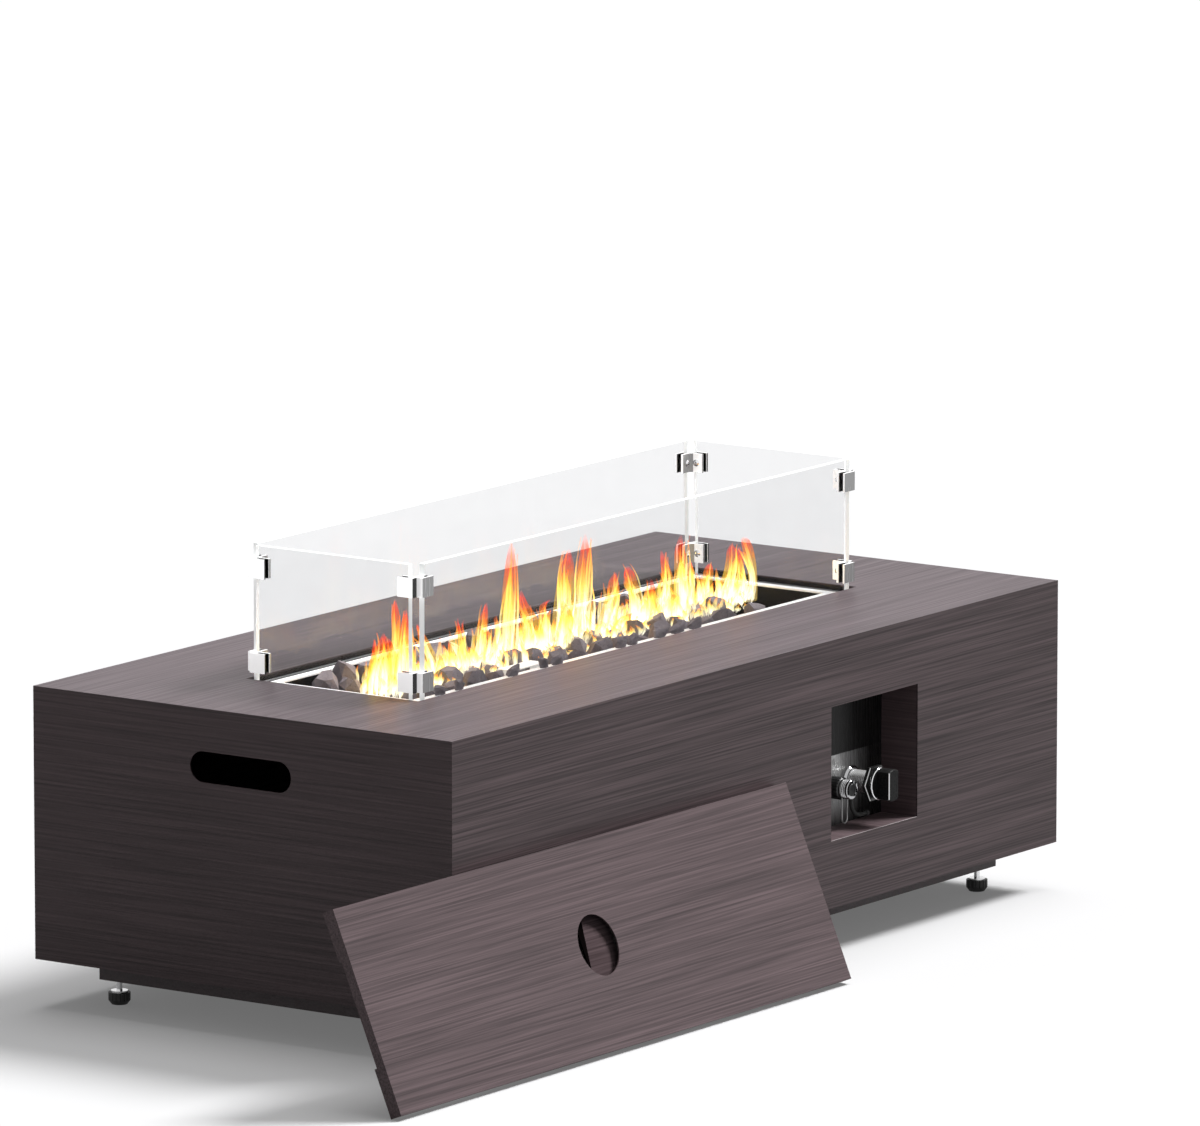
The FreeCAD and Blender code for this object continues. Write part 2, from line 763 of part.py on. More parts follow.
def lava_rocks():
    """A bed of lava rocks in front of and behind the burner, which stops short of the right end."""
    long_pitch = v.rock_pitch_long.number
    cross_pitch = v.rock_pitch_cross.number
    half_length = pan_inner_length.number / 2
    half_width = pan_inner_width.number / 2
    columns = int((2 * half_length - 2 * v.rock_end_margin.number) / long_pitch)
    radius_x = (long_pitch - v.rock_gap.number) / 2
    radius_y = (cross_pitch - v.rock_gap.number) / 2
    rows = int((half_width - v.burner_radius.number) / cross_pitch)
    pilot_reach = v.pilot_length.number / 2 + radius_x + v.rock_gap.number
    pilot_cross = v.pilot_width.number / 2 + radius_y + v.rock_gap.number
    saddle_x = v.burner_length.number / 2 - v.saddle_in.number
    saddle_reach = v.saddle_length.number / 2 + radius_x + v.rock_gap.number
    saddle_cross = v.saddle_width.number / 2 + radius_y
    feed_reach = v.feed_nut_radius.number + radius_x
    outer_y = half_width - v.rock_gap.number - cross_pitch / 2
    floor = pan_floor.number
    rocks = [rock_shape(v.loose_rock_x.number, -outer_y, floor, radius_x, radius_y,
                        v.rock_height.number - v.rock_uneven.number, 0)]
    for row in range(rows):
        row_end = v.rock_bed_right.number - long_pitch * (rows - 1 - row)
        for side in (-1, 1):
            y = side * (outer_y - cross_pitch * row)
            for column in range(columns):
                x = (column - (columns - 1) / 2) * long_pitch
                if x > row_end:
                    continue
                by_pilot = abs(x - v.pilot_x.number) < pilot_reach
                if by_pilot and abs(y - v.pilot_y.number) < pilot_cross:
                    continue
                by_saddle = abs(abs(x) - saddle_x) < saddle_reach
                if by_saddle and abs(y) < saddle_cross:
                    continue
                if abs(x - valve_x.number) < feed_reach and abs(y) < feed_reach:
                    continue
                seed = column * 2.17 + row * 5.3 + side * 1.9
                height = v.rock_height.number - v.rock_uneven.number * math.sin(seed * 7.7) ** 2
                rocks.append(rock_shape(x, y, floor, radius_x, radius_y, height, seed))
    flange = v.pan_flange.number
    for x, length in EDGE_STONES:
        rocks.append(rock_shape(x, -half_width - flange / 2, ledge_top.number + v.pan_wall.number,
                                length / 2, flange / 2, v.edge_stone_height.number, x))
    feature = doc.addObject("Part::Feature", "lava_rocks")
    feature.Shape = Part.makeCompound(rocks)
    keep("lava_rocks", feature)


def plinth():
    """The dark skirt under the body: a channel frame that the feet screw into."""
    body = new_body("plinth_frame")
    length = v.table_length - 2 * v.plinth_inset
    width = v.table_width - 2 * v.plinth_inset
    rail = v.plinth_rail
    pad(body, "XY", [centred(length, width), centred(length - 2 * rail, width - 2 * rail)],
        plinth_bottom, v.plinth_height)
    wall = v.sheet
    pocket(body, "XY", [centred(length - 2 * wall, width - 2 * wall),
                        centred(length - 2 * rail + 2 * wall, width - 2 * rail + 2 * wall)],
           plinth_bottom + wall, v.plinth_height - wall)
    holes = [(side_x * foot_x, side_y * foot_y, v.stud_radius + v.fit_gap)
             for side_x in (-1, 1) for side_y in (-1, 1)]
    pocket(body, "XY", holes, plinth_bottom, wall)
    keep("plinth_frame", body)


def hexagon(x, y, flats):
    """A hexagon outline with its flats a given distance apart."""
    corner = flats / math.sqrt(3)
    points = []
    for index in range(6):
        angle = math.radians(60 * index)
        points.append((x + corner * math.cos(angle), y + corner * math.sin(angle)))
    return points


def levelling_feet():
    """Four feet: a ribbed cap on a threaded stud, screwed into a nut inside the plinth."""
    inserts = []
    for name, side_x, side_y in (("front_left", -1, -1), ("front_right", 1, -1),
                                 ("back_left", -1, 1), ("back_right", 1, 1)):
        x = side_x * foot_x
        y = side_y * foot_y
        insert = new_body("foot_insert")
        pad(insert, "XY", [hexagon(0, 0, v.insert_flats), (0, 0, v.stud_radius + v.thread_gap)], 0,
            v.insert_height)
        inserts.append(place(insert, x, y, plinth_bottom + v.sheet))

        cap = new_body("foot_cap_" + name)
        seat = v.foot_cap_height - v.stud_sink
        bore = v.stud_radius + v.thread_gap
        turned(cap, [(0, 0), (v.foot_tip_radius, 0), (v.foot_cap_radius, v.foot_tip_height),
                     (v.foot_cap_radius, v.foot_cap_height), (bore, v.foot_cap_height),
                     (bore, seat), (0, seat)])
        groove = pocket(cap, "XY", [(v.foot_cap_radius + v.foot_groove_radius / 3, 0,
                                     v.foot_groove_radius)],
                        v.foot_tip_height, v.foot_cap_height - v.foot_tip_height)
        repeat_round(cap, groove, v.foot_grooves)
        keep("foot_cap_" + name, place(cap, x, y))

        stud = new_body("foot_stud_" + name)
        top = v.foot_cap_height
        turned(stud, [(0, seat), (v.stud_radius, seat), (v.stud_radius, top), (v.washer_radius, top),
                      (v.washer_radius, top + v.washer_height),
                      (v.stud_radius, top + v.washer_height), (v.stud_radius, v.stud_top),
                      (0, v.stud_top)])
        keep("foot_stud_" + name, place(stud, x, y))
    group = doc.addObject("Part::Compound", "foot_inserts")
    group.Links = inserts
    keep("foot_inserts", group)


def control_recess():
    """The box behind the front window, with the panel that carries the valve and the igniter."""
    box = new_body("control_box")
    inner = rectangle(v.window_left, window_right, window_bottom, window_top)
    wall = v.sheet
    outer = rectangle(v.window_left - wall, window_right + wall, window_bottom - wall,
                      window_top + wall)
    reach = wall + v.recess_flange
    plate = rectangle(v.window_left - reach, window_right + reach, window_bottom - reach,
                      window_top + reach)
    pad(box, "XZ", [outer, inner], panel_front, v.recess_depth - wall)
    pad(box, "XZ", [plate, inner], panel_front, wall)
    half = wall + v.recess_flange / 2
    screws = [(x, z) for x in (v.window_left - half, window_right + half)
              for z in (window_bottom - half, window_top + half)]
    holes = [(x, z, v.panel_screw_radius + v.fit_gap) for x, z in screws]
    pocket(box, "XZ", holes, panel_front, wall)
    keep("control_box", box)

    panel = new_body("control_panel")
    pad(panel, "XZ", [plate], panel_back, wall)
    pocket(panel, "XZ", holes + [(valve_x, valve_z, v.neck_radius + v.fit_gap),
                                 (igniter_x, igniter_z, v.barrel_radius + v.fit_gap)],
           panel_back, wall)
    keep("control_panel", panel)

    fixings = []
    for x, z in screws:
        screw = new_body("panel_screw")
        turned(screw, [(0, 0), (v.panel_screw_radius, 0),
                       (v.panel_screw_radius, v.panel_screw_length),
                       (v.panel_screw_head, v.panel_screw_length),
                       (v.panel_screw_head, v.panel_screw_length + v.panel_screw_head_height / 2),
                       (v.panel_screw_head / 2, v.panel_screw_length + v.panel_screw_head_height),
                       (0, v.panel_screw_length + v.panel_screw_head_height)])
        fixings.append(place(screw, x, -(panel_back + v.panel_screw_length), z,
                             turn="x", angle=-90))
    group = doc.addObject("Part::Compound", "panel_screws")
    group.Links = fixings
    keep("panel_screws", group)


def on_panel(body, x, z):
    """Turns a piece that was built along Z so that it points out of the control panel."""
    return place(body, x, -panel_front, z, turn="x", angle=90)


def gas_valve():
    """The valve behind the panel, with its neck, bell, nut, plug, stem and knob."""
    back = -v.sheet
    rear = back - v.valve_body_length
    plug_top = back - v.plug_depth
    plug_low = plug_top - v.plug_length
    ceiling = plug_top + v.plug_play
    bore = v.stem_radius + v.fit_gap
    cavity = v.plug_radius + v.fit_gap
    waist = rear + 2 * v.inlet_boss_in
    body = new_body("valve_body")
    turned(body, [(0, rear), (v.valve_tail_radius, rear), (v.valve_tail_radius, waist),
                  (v.valve_body_radius, waist + v.valve_chamfer),
                  (v.valve_body_radius, back - v.valve_chamfer),
                  (v.valve_body_radius - v.valve_chamfer, back), (v.neck_radius, back),
                  (v.neck_radius, v.neck_length), (bore, v.neck_length), (bore, ceiling),
                  (cavity, ceiling), (cavity, plug_low), (0, plug_low)])
    boss_z = rear + v.inlet_boss_in
    pad(body, "XZ", [(0, boss_z, v.inlet_boss_radius)], 0, v.inlet_boss_length)
    pocket(body, "XZ", [(0, boss_z, v.inlet_bore)], v.inlet_bore_from, v.inlet_boss_length)
    keep("valve_body", on_panel(body, valve_x, valve_z))
    return body


def control_stack():
    """The pieces on the valve's axis in front of the panel, and the plug and stem inside it."""
    bell = new_body("valve_bell")
    throat = v.neck_radius + v.fit_gap
    turned(bell, [(throat, 0), (v.bell_radius, 0), (v.bell_radius, v.bell_rim),
                  (v.bell_throat, v.bell_length - v.bell_rim),
                  (v.bell_throat, v.bell_length), (throat, v.bell_length)])
    keep("valve_bell", on_panel(bell, valve_x, valve_z))

    nut = new_body("valve_nut")
    nut_low = v.neck_length - v.valve_nut_height
    pad(nut, "XY", [hexagon(0, 0, v.valve_nut_flats), (0, 0, v.neck_radius + v.thread_gap)],
        nut_low, v.valve_nut_height)
    keep("valve_nut", on_panel(nut, valve_x, valve_z))

    plug_top = -v.sheet - v.plug_depth
    plug_low = plug_top - v.plug_length
    slot_low = plug_low + v.plug_length - v.tongue_length - v.push_travel - v.tongue_play
    plug = new_body("valve_plug")
    pad(plug, "XY", [(0, 0, v.plug_radius)], plug_low + v.fit_gap, v.plug_length - v.fit_gap)
    pocket(plug, "XY", [centred(v.tongue_width + v.tongue_gap, v.tongue_thick + v.tongue_gap)],
           slot_low, plug_top - slot_low)
    keep("valve_plug", on_panel(plug, valve_x, valve_z))

    dial_low = v.neck_length + v.push_travel + v.knob_gap
    stem = new_body("valve_stem")
    shoulder = plug_top + v.push_travel + v.tongue_play
    stem_end = dial_low + v.dial_height + v.trim_height + v.knob_bore_depth
    pad(stem, "XY", [(0, 0, v.stem_radius)], shoulder, stem_end - shoulder)
    pad(stem, "XY", [centred(v.tongue_width, v.tongue_thick)],
        shoulder - v.tongue_length - v.push_travel, v.tongue_length + v.push_travel)
    keep("valve_stem", on_panel(stem, valve_x, valve_z))

    trim = new_body("knob_trim")
    bore = v.stem_radius + v.thread_gap
    bevel = v.dial_bevel
    dial_high = dial_low + v.dial_height
    turned(trim, [(bore, dial_low), (v.dial_radius - bevel, dial_low),
                  (v.dial_radius, dial_low + bevel), (v.dial_radius, dial_high - bevel),
                  (v.dial_radius - bevel, dial_high), (bore, dial_high)])
    keep("knob_trim", on_panel(trim, valve_x, valve_z))

    knob = new_body("control_knob")
    grip_low = dial_high + v.trim_height
    half = v.grip_width / 2
    reach = other_leg(v.grip_radius, half)
    turned(knob, [(0, dial_high), (v.trim_radius, dial_high), (v.trim_radius, grip_low),
                  (0, grip_low)])
    outline = [(half, -reach, v.grip_radius), (half, reach), (-half, reach, v.grip_radius),
               (-half, -reach)]
    grip = pad(knob, "XY", [outline], grip_low, v.grip_height)
    bevel_top(knob, grip, v.grip_bevel)
    pocket(knob, "XY", [(0, 0, bore)], dial_high, stem_end - dial_high + v.fit_gap)
    keep("control_knob", on_panel(knob, valve_x, valve_z))


def gas_line():
    """The inlet fitting in the base, the tube up to the valve and the tube on to the burner."""
    lift = v.inlet_flange_height
    fitting = new_body("gas_inlet")
    outer = v.inlet_thread_radius
    low = -v.inlet_neck_length - v.inlet_thread_length
    turned(fitting, [(v.inlet_bore, low), (outer, low), (outer, -v.inlet_neck_length),
                     (v.inlet_neck_radius, -v.inlet_neck_length), (v.inlet_neck_radius, v.sheet),
                     (v.inlet_flange_radius, v.sheet), (v.inlet_flange_radius, v.sheet + lift),
                     (v.inlet_bore, v.sheet + lift)])
    keep("gas_inlet", place(fitting, valve_x, inlet_y, body_bottom))

    riser = new_body("inlet_tube")
    riser_low = base_top + lift
    riser_high = valve_z - v.inlet_boss_length
    pad(riser, "XY", [(0, 0, v.inlet_radius), (0, 0, v.inlet_bore)], 0, riser_high - riser_low)
    keep("inlet_tube", place(riser, valve_x, inlet_y, riser_low))

    feed = new_body("burner_feed_tube")
    start = -panel_back + v.valve_body_length
    bend = v.feed_bend
    rise = pan_floor - v.feed_nut_height
    pipe(feed, ("YZ", valve_x), [(start, valve_z), (-bend, valve_z), (0, valve_z + bend, bend),
                                 (0, rise)],
         ("XZ", -start), [(valve_x, valve_z, v.feed_radius), (valve_x, valve_z, v.feed_bore)])
    keep("burner_feed_tube", feed)


def igniter():
    """The push igniter with its ribbed nut, and the wire holder that hangs on its barrel."""
    back = -v.sheet
    rear = back - v.igniter_body_length
    bore = v.button_radius + v.button_gap
    bore_low = v.barrel_length + v.button_proud - v.button_length - v.button_travel - v.button_play
    body = new_body("igniter_body")
    bevel = v.igniter_bevel
    turned(body, [(0, rear), (v.igniter_body_radius - bevel, rear),
                  (v.igniter_body_radius, rear + bevel),
                  (v.igniter_body_radius, back), (v.barrel_radius, back),
                  (v.barrel_radius, v.barrel_length), (bore, v.barrel_length), (bore, bore_low),
                  (0, bore_low)])
    keep("igniter_body", on_panel(body, igniter_x, igniter_z))

    # a bright sleeve on the barrel, with a few ridges and a lip round the button
    collar = new_body("igniter_collar")
    inner = v.barrel_radius + v.thread_gap
    outline = [(inner, v.collar_start)]
    for index in range(int(v.ridges.number)):
        low = v.collar_start + index * v.ridge_pitch
        outline += [(v.collar_radius, low), (v.ridge_radius, low + v.ridge_width / 2),
                    (v.collar_radius, low + v.ridge_width)]
    front = v.barrel_length + v.collar_lip
    bezel_low = v.barrel_length - v.bezel_length
    bevel = v.bezel_bevel
    outline += [(v.collar_radius, bezel_low), (v.ridge_radius, bezel_low + bevel),
                (v.ridge_radius, front - bevel), (v.ridge_radius - bevel, front), (bore, front),
                (bore, v.barrel_length), (inner, v.barrel_length)]
    turned(collar, outline)
    keep("igniter_collar", on_panel(collar, igniter_x, igniter_z))

    nut = new_body("igniter_nut")
    bevel = v.igniter_nut_bevel
    turned(nut, [(inner, 0), (v.igniter_nut_radius, 0),
                 (v.igniter_nut_radius, v.igniter_nut_height - bevel),
                 (v.igniter_nut_radius - bevel, v.igniter_nut_height),
                 (inner, v.igniter_nut_height)])
    groove = pocket(nut, "XY", [(v.igniter_nut_radius + v.igniter_groove / 3, 0,
                                 v.igniter_groove)],
                    v.igniter_groove_from, v.igniter_nut_height - v.igniter_groove_from)
    repeat_round(nut, groove, v.igniter_grooves)
    keep("igniter_nut", on_panel(nut, igniter_x, igniter_z))

    button = new_body("igniter_button")
    top = v.barrel_length + v.button_proud
    low = top - v.button_length
    turned(button, [(0, low), (v.button_radius, low), (v.button_radius, top - v.button_round),
                    (v.button_radius - v.button_round, top, v.button_round), (0, top)])
    keep("igniter_button", on_panel(button, igniter_x, igniter_z))

    # a black hook bends from the underside of the collar to the right, and ends in a thicker tip
    hook = new_body("igniter_hook")
    hook_out = panel_front + v.hook_forward
    hook_top = igniter_z - v.ridge_radius - v.fit_gap
    hook_low = hook_top - v.hook_stem - v.hook_bend
    hook_end = igniter_x + v.hook_bend + v.hook_tail
    pipe(hook, ("XZ", hook_out), [(igniter_x, hook_top), (igniter_x, hook_top - v.hook_stem),
                                  (igniter_x + v.hook_bend, hook_low, v.hook_bend),
                                  (hook_end, hook_low)],
         ("XY", hook_top), [(igniter_x, -hook_out, v.hook_radius)])
    pad(hook, "YZ", [(-hook_out, hook_low, v.hook_tip_radius)], hook_end, v.hook_tip_length)
    keep("igniter_hook", hook)

    # one bent wire: a ring round the barrel, and two legs that join in a half turn below
    wire = v.holder_wire_radius
    ring_y = -(panel_front + v.holder_forward)
    ring = doc.addObject("Part::Torus", "holder_ring")
    bind(ring, "Radius1", v.holder_ring_radius)
    bind(ring, "Radius2", wire)
    place(ring, igniter_x, ring_y, igniter_z, turn="x", angle=90)
    leg_top = igniter_z - other_leg(v.holder_ring_radius, v.holder_leg_gap / 2)
    leg_low = leg_top - v.holder_leg_length
    legs = []
    for side in (-1, 1):
        leg = doc.addObject("Part::Cylinder", "holder_leg")
        bind(leg, "Radius", wire)
        bind(leg, "Height", v.holder_leg_length)
        legs.append(place(leg, igniter_x + side * v.holder_leg_gap / 2, ring_y, leg_low))
    turn = doc.addObject("Part::Torus", "holder_turn")
    bind(turn, "Radius1", v.holder_leg_gap / 2)
    bind(turn, "Radius2", wire)
    turn.Angle3 = 180
    place(turn, igniter_x, ring_y, leg_low, turn="x", angle=-90)
    fused = doc.addObject("Part::MultiFuse", "rod_holder")
    fused.Shapes = [ring] + legs + [turn]
    keep("rod_holder", fused)


def glass_guard():
    """Four panes that stand on the ledge, joined by two clamps at each corner."""
    back = v.glass_setback
    for label, side in (("glass_front", -1), ("glass_back", 1)):
        pane = new_body(label)
        y = side * (glass_width - v.glass_thick) / 2
        pad(pane, "XY", [centred(glass_length - 2 * back, v.glass_thick, y=y)], 0, v.glass_height)
        keep(label, place(pane, z=ledge_top))
    for label, side in (("glass_left", -1), ("glass_right", 1)):
        pane = new_body(label)
        x = side * (glass_length - v.glass_thick) / 2
        pad(pane, "XY", [centred(v.glass_thick, glass_width - 2 * back, x=x)], 0, v.glass_height)
        keep(label, place(pane, z=ledge_top))

    heights = (ledge_top + v.clamp_above_foot,
               ledge_top + v.glass_height - v.clamp_below_top - v.clamp_height)
    screws = []
    pads = []
    corners = (("front_left", -1, -1), ("front_right", 1, -1), ("back_right", 1, 1),
               ("back_left", -1, 1))
    for turn, (name, side_x, side_y) in enumerate(corners):
        x = side_x * glass_length / 2
        y = side_y * glass_width / 2
        clamps = []
        for z in heights:
            clamps.append(place(clamp(), x, y, z, turn="z", angle=90 * turn))
            for screw in clamp_screws():
                screws.append(nested(screw, x, y, z, turn))
            for rubber in clamp_pads():
                pads.append(nested(rubber, x, y, z, turn))
        group = doc.addObject("Part::Compound", "clamps_" + name)
        group.Links = clamps
        keep("clamps_" + name, group)
    for label, items in (("clamp_screws", screws), ("clamp_pads", pads)):
        group = doc.addObject("Part::Compound", label)
        group.Links = items
        keep(label, group)


def nested(item, x, y, z, turn):
    """Wraps an item so that it can be turned to its corner as a whole."""
    holder = doc.addObject("Part::Compound", "at_corner")
    holder.Links = [item]
    return place(holder, x, y, z, turn="z", angle=90 * turn)


def clamp():
    """A corner clamp in plan: two outer arms with a notch between them, and two inner arms."""
    arm = v.clamp_arm
    start = v.clamp_start
    outer = -(v.clamp_pad + v.clamp_outer)
    face = -v.clamp_pad
    inner = v.glass_thick + v.clamp_pad
    inner_face = inner + v.clamp_inner
    slot = v.glass_setback - v.clamp_slot_gap
    bevel = inner_face + v.clamp_bevel
    outline = [(start, outer), (arm, outer), (arm, face), (slot, face), (slot, inner), (arm, inner),
               (arm, inner_face), (bevel, inner_face), (inner_face, bevel), (inner_face, arm),
               (inner, arm), (inner, slot), (face, slot), (face, arm), (outer, arm),
               (outer, start), (start, start)]
    body = new_body("clamp")
    pad(body, "XY", [outline], 0, v.clamp_height)
    middle = v.clamp_height / 2
    hole = v.clamp_screw_radius + v.thread_gap
    pocket(body, "XZ", [(v.clamp_screw_in, middle, hole)], -inner_face, v.clamp_inner)
    pocket(body, "YZ", [(v.clamp_screw_in, middle, hole)], inner, v.clamp_inner)
    return body


def clamp_screws():
    """The two screws of a clamp, which press the inner pads against the panes."""
    inner = v.glass_thick + v.clamp_pad
    length = v.clamp_inner
    head = v.clamp_screw_head
    rise = v.clamp_screw_head_height
    shank = v.clamp_screw_radius
    outline = [(0, 0), (shank, 0), (shank, length), (head, length), (head, length + rise / 2),
               (head / 2, length + rise), (0, length + rise)]
    made = []
    for turn, angle in (("x", -90), ("y", 90)):
        screw = new_body("clamp_screw")
        turned(screw, outline)
        along = v.clamp_screw_in
        x, y = (along, inner) if turn == "x" else (inner, along)
        made.append(place(screw, x, y, v.clamp_height / 2, turn=turn, angle=angle))
    return made


def clamp_pads():
    """The four rubber pads between a clamp and the two panes."""
    length = v.clamp_arm - v.glass_setback - v.clamp_slot_gap
    made = []
    for swap in (False, True):
        for low in (-v.clamp_pad, v.glass_thick):
            block = doc.addObject("Part::Box", "clamp_pad")
            along, across = ("Width", "Length") if swap else ("Length", "Width")
            bind(block, along, length)
            bind(block, across, v.clamp_pad)
            bind(block, "Height", v.clamp_height)
            x, y = (low, v.glass_setback) if swap else (v.glass_setback, low)
            made.append(place(block, x, y, 0))
    return made


def lid():
    """The lid, a shallow tray that leans on the front face. It is built flat, then tilted."""
    length = v.opening_length - 2 * v.lid_gap
    width = v.opening_width - 2 * v.lid_gap
    depth = v.lid_flange
    tab_depth = depth + v.lid_tab_drop
    lean = v.lid_lean_angle
    low_y = -(front_face + v.lid_face_gap + width * sine(lean) + tab_depth * cosine(lean))
    low_z = tab_depth * sine(lean)

    def lean_over(body):
        return place(body, v.lid_x, low_y, low_z, turn="x", angle=90 - lean)

    panel = new_body("lid_panel")
    wall = v.lid_sheet
    outer = rectangle(-length / 2, length / 2, 0, width)
    inner = rectangle(-length / 2 + wall, length / 2 - wall, wall, width - wall)
    pad(panel, "XY", [outer], -depth, depth)
    pocket(panel, "XY", [inner], -depth, depth - wall)
    pocket(panel, "XY", [(0, width / 2, v.finger_hole_radius)], -wall, wall)
    for side in (-1, 1):
        x_edge = side * length / 2
        x_low, x_high = (x_edge, x_edge + wall) if side < 0 else (x_edge - wall, x_edge)
        for y_low in (0, width - v.lid_tab_length):
            tab = rectangle(x_low, x_high, y_low, y_low + v.lid_tab_length)
            pad(panel, "XY", [tab], -tab_depth, v.lid_tab_drop)
    keep("lid_panel", lean_over(panel))

    plate = new_body("lid_finger_plate")
    reach = v.finger_plate_reach
    skin = -wall
    low = skin - v.finger_plate_drop
    middle = width / 2
    outline = [(middle - reach, skin), (middle - reach, low), (middle + reach, low),
               (middle + reach, skin), (middle + reach - wall, skin),
               (middle + reach - wall, low + wall), (middle - reach + wall, low + wall),
               (middle - reach + wall, skin)]
    pad(plate, "YZ", [outline], -reach, 2 * reach)
    pocket(plate, "XY", [rectangle(-reach, -v.finger_cut_from, middle - v.finger_cut_half,
                                   middle + v.finger_cut_half)], low, wall)
    keep("lid_finger_plate", lean_over(plate))


casing()
corner_posts()
ledge_frame()
burner_pan()
burner()
pilot()
lava_rocks()
plinth()
levelling_feet()
control_recess()
gas_valve()
control_stack()
gas_line()
igniter()
glass_guard()
lid()
doc.recompute()

for item in doc.Objects:
    if "Invalid" in item.State or "Error" in item.State:
        raise RuntimeError(f"{item.Label} did not build: {item.State}")
for label, item in pieces.items():
    if item.Shape.isNull() or not item.Shape.isValid():
        raise RuntimeError(f"{label} has no valid shape")

os.makedirs("parts", exist_ok=True)
for label, item in pieces.items():
    item.Shape.exportStep(f"parts/{label}.step")
    print(label, len(item.Shape.Solids), round(item.Shape.Volume))
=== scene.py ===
import math

import bmesh
import bpy
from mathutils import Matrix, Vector


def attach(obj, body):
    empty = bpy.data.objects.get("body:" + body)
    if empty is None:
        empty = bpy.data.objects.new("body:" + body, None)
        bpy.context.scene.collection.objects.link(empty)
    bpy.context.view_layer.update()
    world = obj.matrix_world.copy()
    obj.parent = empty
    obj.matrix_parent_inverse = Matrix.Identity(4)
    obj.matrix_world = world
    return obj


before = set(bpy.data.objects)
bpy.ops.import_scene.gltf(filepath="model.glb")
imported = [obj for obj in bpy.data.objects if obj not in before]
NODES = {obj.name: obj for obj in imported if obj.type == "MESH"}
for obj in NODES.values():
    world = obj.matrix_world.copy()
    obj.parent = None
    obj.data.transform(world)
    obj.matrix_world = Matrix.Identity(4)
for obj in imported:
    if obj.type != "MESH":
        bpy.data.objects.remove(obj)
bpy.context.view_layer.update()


# Camera at the photograph's viewing angle

def add_camera():
    yaw = math.radians(54.98)
    pitch = math.radians(10.135)
    forward = Vector((math.sin(yaw) * math.cos(pitch), math.cos(yaw) * math.cos(pitch),
                      -math.sin(pitch)))
    data = bpy.data.cameras.new("camera")
    data.sensor_fit = "HORIZONTAL"
    data.sensor_width = 36
    data.lens = 381.1
    data.clip_end = 200
    camera = bpy.data.objects.new("camera", data)
    camera.location = (-10.2485, -7.2340, 2.6345)
    camera.rotation_mode = "QUATERNION"
    camera.rotation_quaternion = forward.to_track_quat("-Z", "Y")
    bpy.context.scene.collection.objects.link(camera)
    bpy.context.scene.camera = camera


# Helpers for materials

def new_material(name):
    material = bpy.data.materials.new(name)
    material.use_nodes = True
    tree = material.node_tree
    return material, tree, tree.nodes["Principled BSDF"]


def place_coordinates(tree, scale):
    """Coordinates in the object's frame, in metres times the scale."""
    coordinates = tree.nodes.new("ShaderNodeTexCoord")
    mapping = tree.nodes.new("ShaderNodeMapping")
    mapping.inputs["Scale"].default_value = scale
    tree.links.new(coordinates.outputs["Object"], mapping.inputs["Vector"])
    return mapping.outputs["Vector"]


def parts_of(tree, output):
    """The X, Y and Z of a coordinate output, such as Object or Normal."""
    coordinates = tree.nodes.new("ShaderNodeTexCoord")
    parts = tree.nodes.new("ShaderNodeSeparateXYZ")
    tree.links.new(coordinates.outputs[output], parts.inputs["Vector"])
    return [parts.outputs[axis] for axis in "XYZ"]


def compute(tree, kind, first, second=0.0):
    """One math node; each of its values is a socket or a number."""
    made = tree.nodes.new("ShaderNodeMath")
    made.operation = kind
    for target, value in zip(made.inputs, (first, second)):
        if hasattr(value, "is_linked"):
            tree.links.new(value, target)
        else:
            target.default_value = value
    return made.outputs[0]


def noise(tree, vector, scale, detail=4.0, roughness=0.6):
    made = tree.nodes.new("ShaderNodeTexNoise")
    made.inputs["Scale"].default_value = scale
    made.inputs["Detail"].default_value = detail
    made.inputs["Roughness"].default_value = roughness
    tree.links.new(vector, made.inputs["Vector"])
    return made.outputs["Fac"]


def ramp(tree, source, stops):
    """A colour ramp. A stop is (place, grey) or (place, (red, green, blue))."""
    made = tree.nodes.new("ShaderNodeValToRGB")
    elements = made.color_ramp.elements
    while len(elements) < len(stops):
        elements.new(1.0)
    for element, (place, colour) in zip(elements, stops):
        element.position = place
        if not isinstance(colour, tuple):
            colour = (colour, colour, colour)
        element.color = (*colour, 1)
    tree.links.new(source, made.inputs["Fac"])
    return made.outputs["Color"]


def mix(tree, kind, factor, first, second):
    made = tree.nodes.new("ShaderNodeMix")
    made.data_type = "RGBA"
    made.blend_type = kind
    for socket, value in (("Factor", factor), ("A", first), ("B", second)):
        target = next(i for i in made.inputs if i.name == socket and i.enabled)
        if hasattr(value, "is_linked"):
            tree.links.new(value, target)
        elif isinstance(value, tuple):
            target.default_value = (*value, 1)
        else:
            target.default_value = value
    return next(o for o in made.outputs if o.enabled)


def bump(tree, shader, height, strength, distance):
    made = tree.nodes.new("ShaderNodeBump")
    made.inputs["Strength"].default_value = strength
    made.inputs["Distance"].default_value = distance
    tree.links.new(height, made.inputs["Height"])
    tree.links.new(made.outputs["Normal"], shader.inputs["Normal"])


def stretched(along, across, length):
    """Scale of a noise that is fine across one axis and drawn out along it."""
    scale = [across, across, across]
    scale["XYZ".index(along)] = length
    return scale


def show(tree, factor, first, second, output="Material Output"):
    """Sends two shaders to the output: the first where the factor is 0, and the second at 1."""
    joined = tree.nodes.new("ShaderNodeMixShader")
    tree.links.new(factor, joined.inputs["Fac"])
    tree.links.new(first.outputs[0], joined.inputs[1])
    tree.links.new(second.outputs[0], joined.inputs[2])
    tree.links.new(joined.outputs["Shader"], tree.nodes[output].inputs["Surface"])


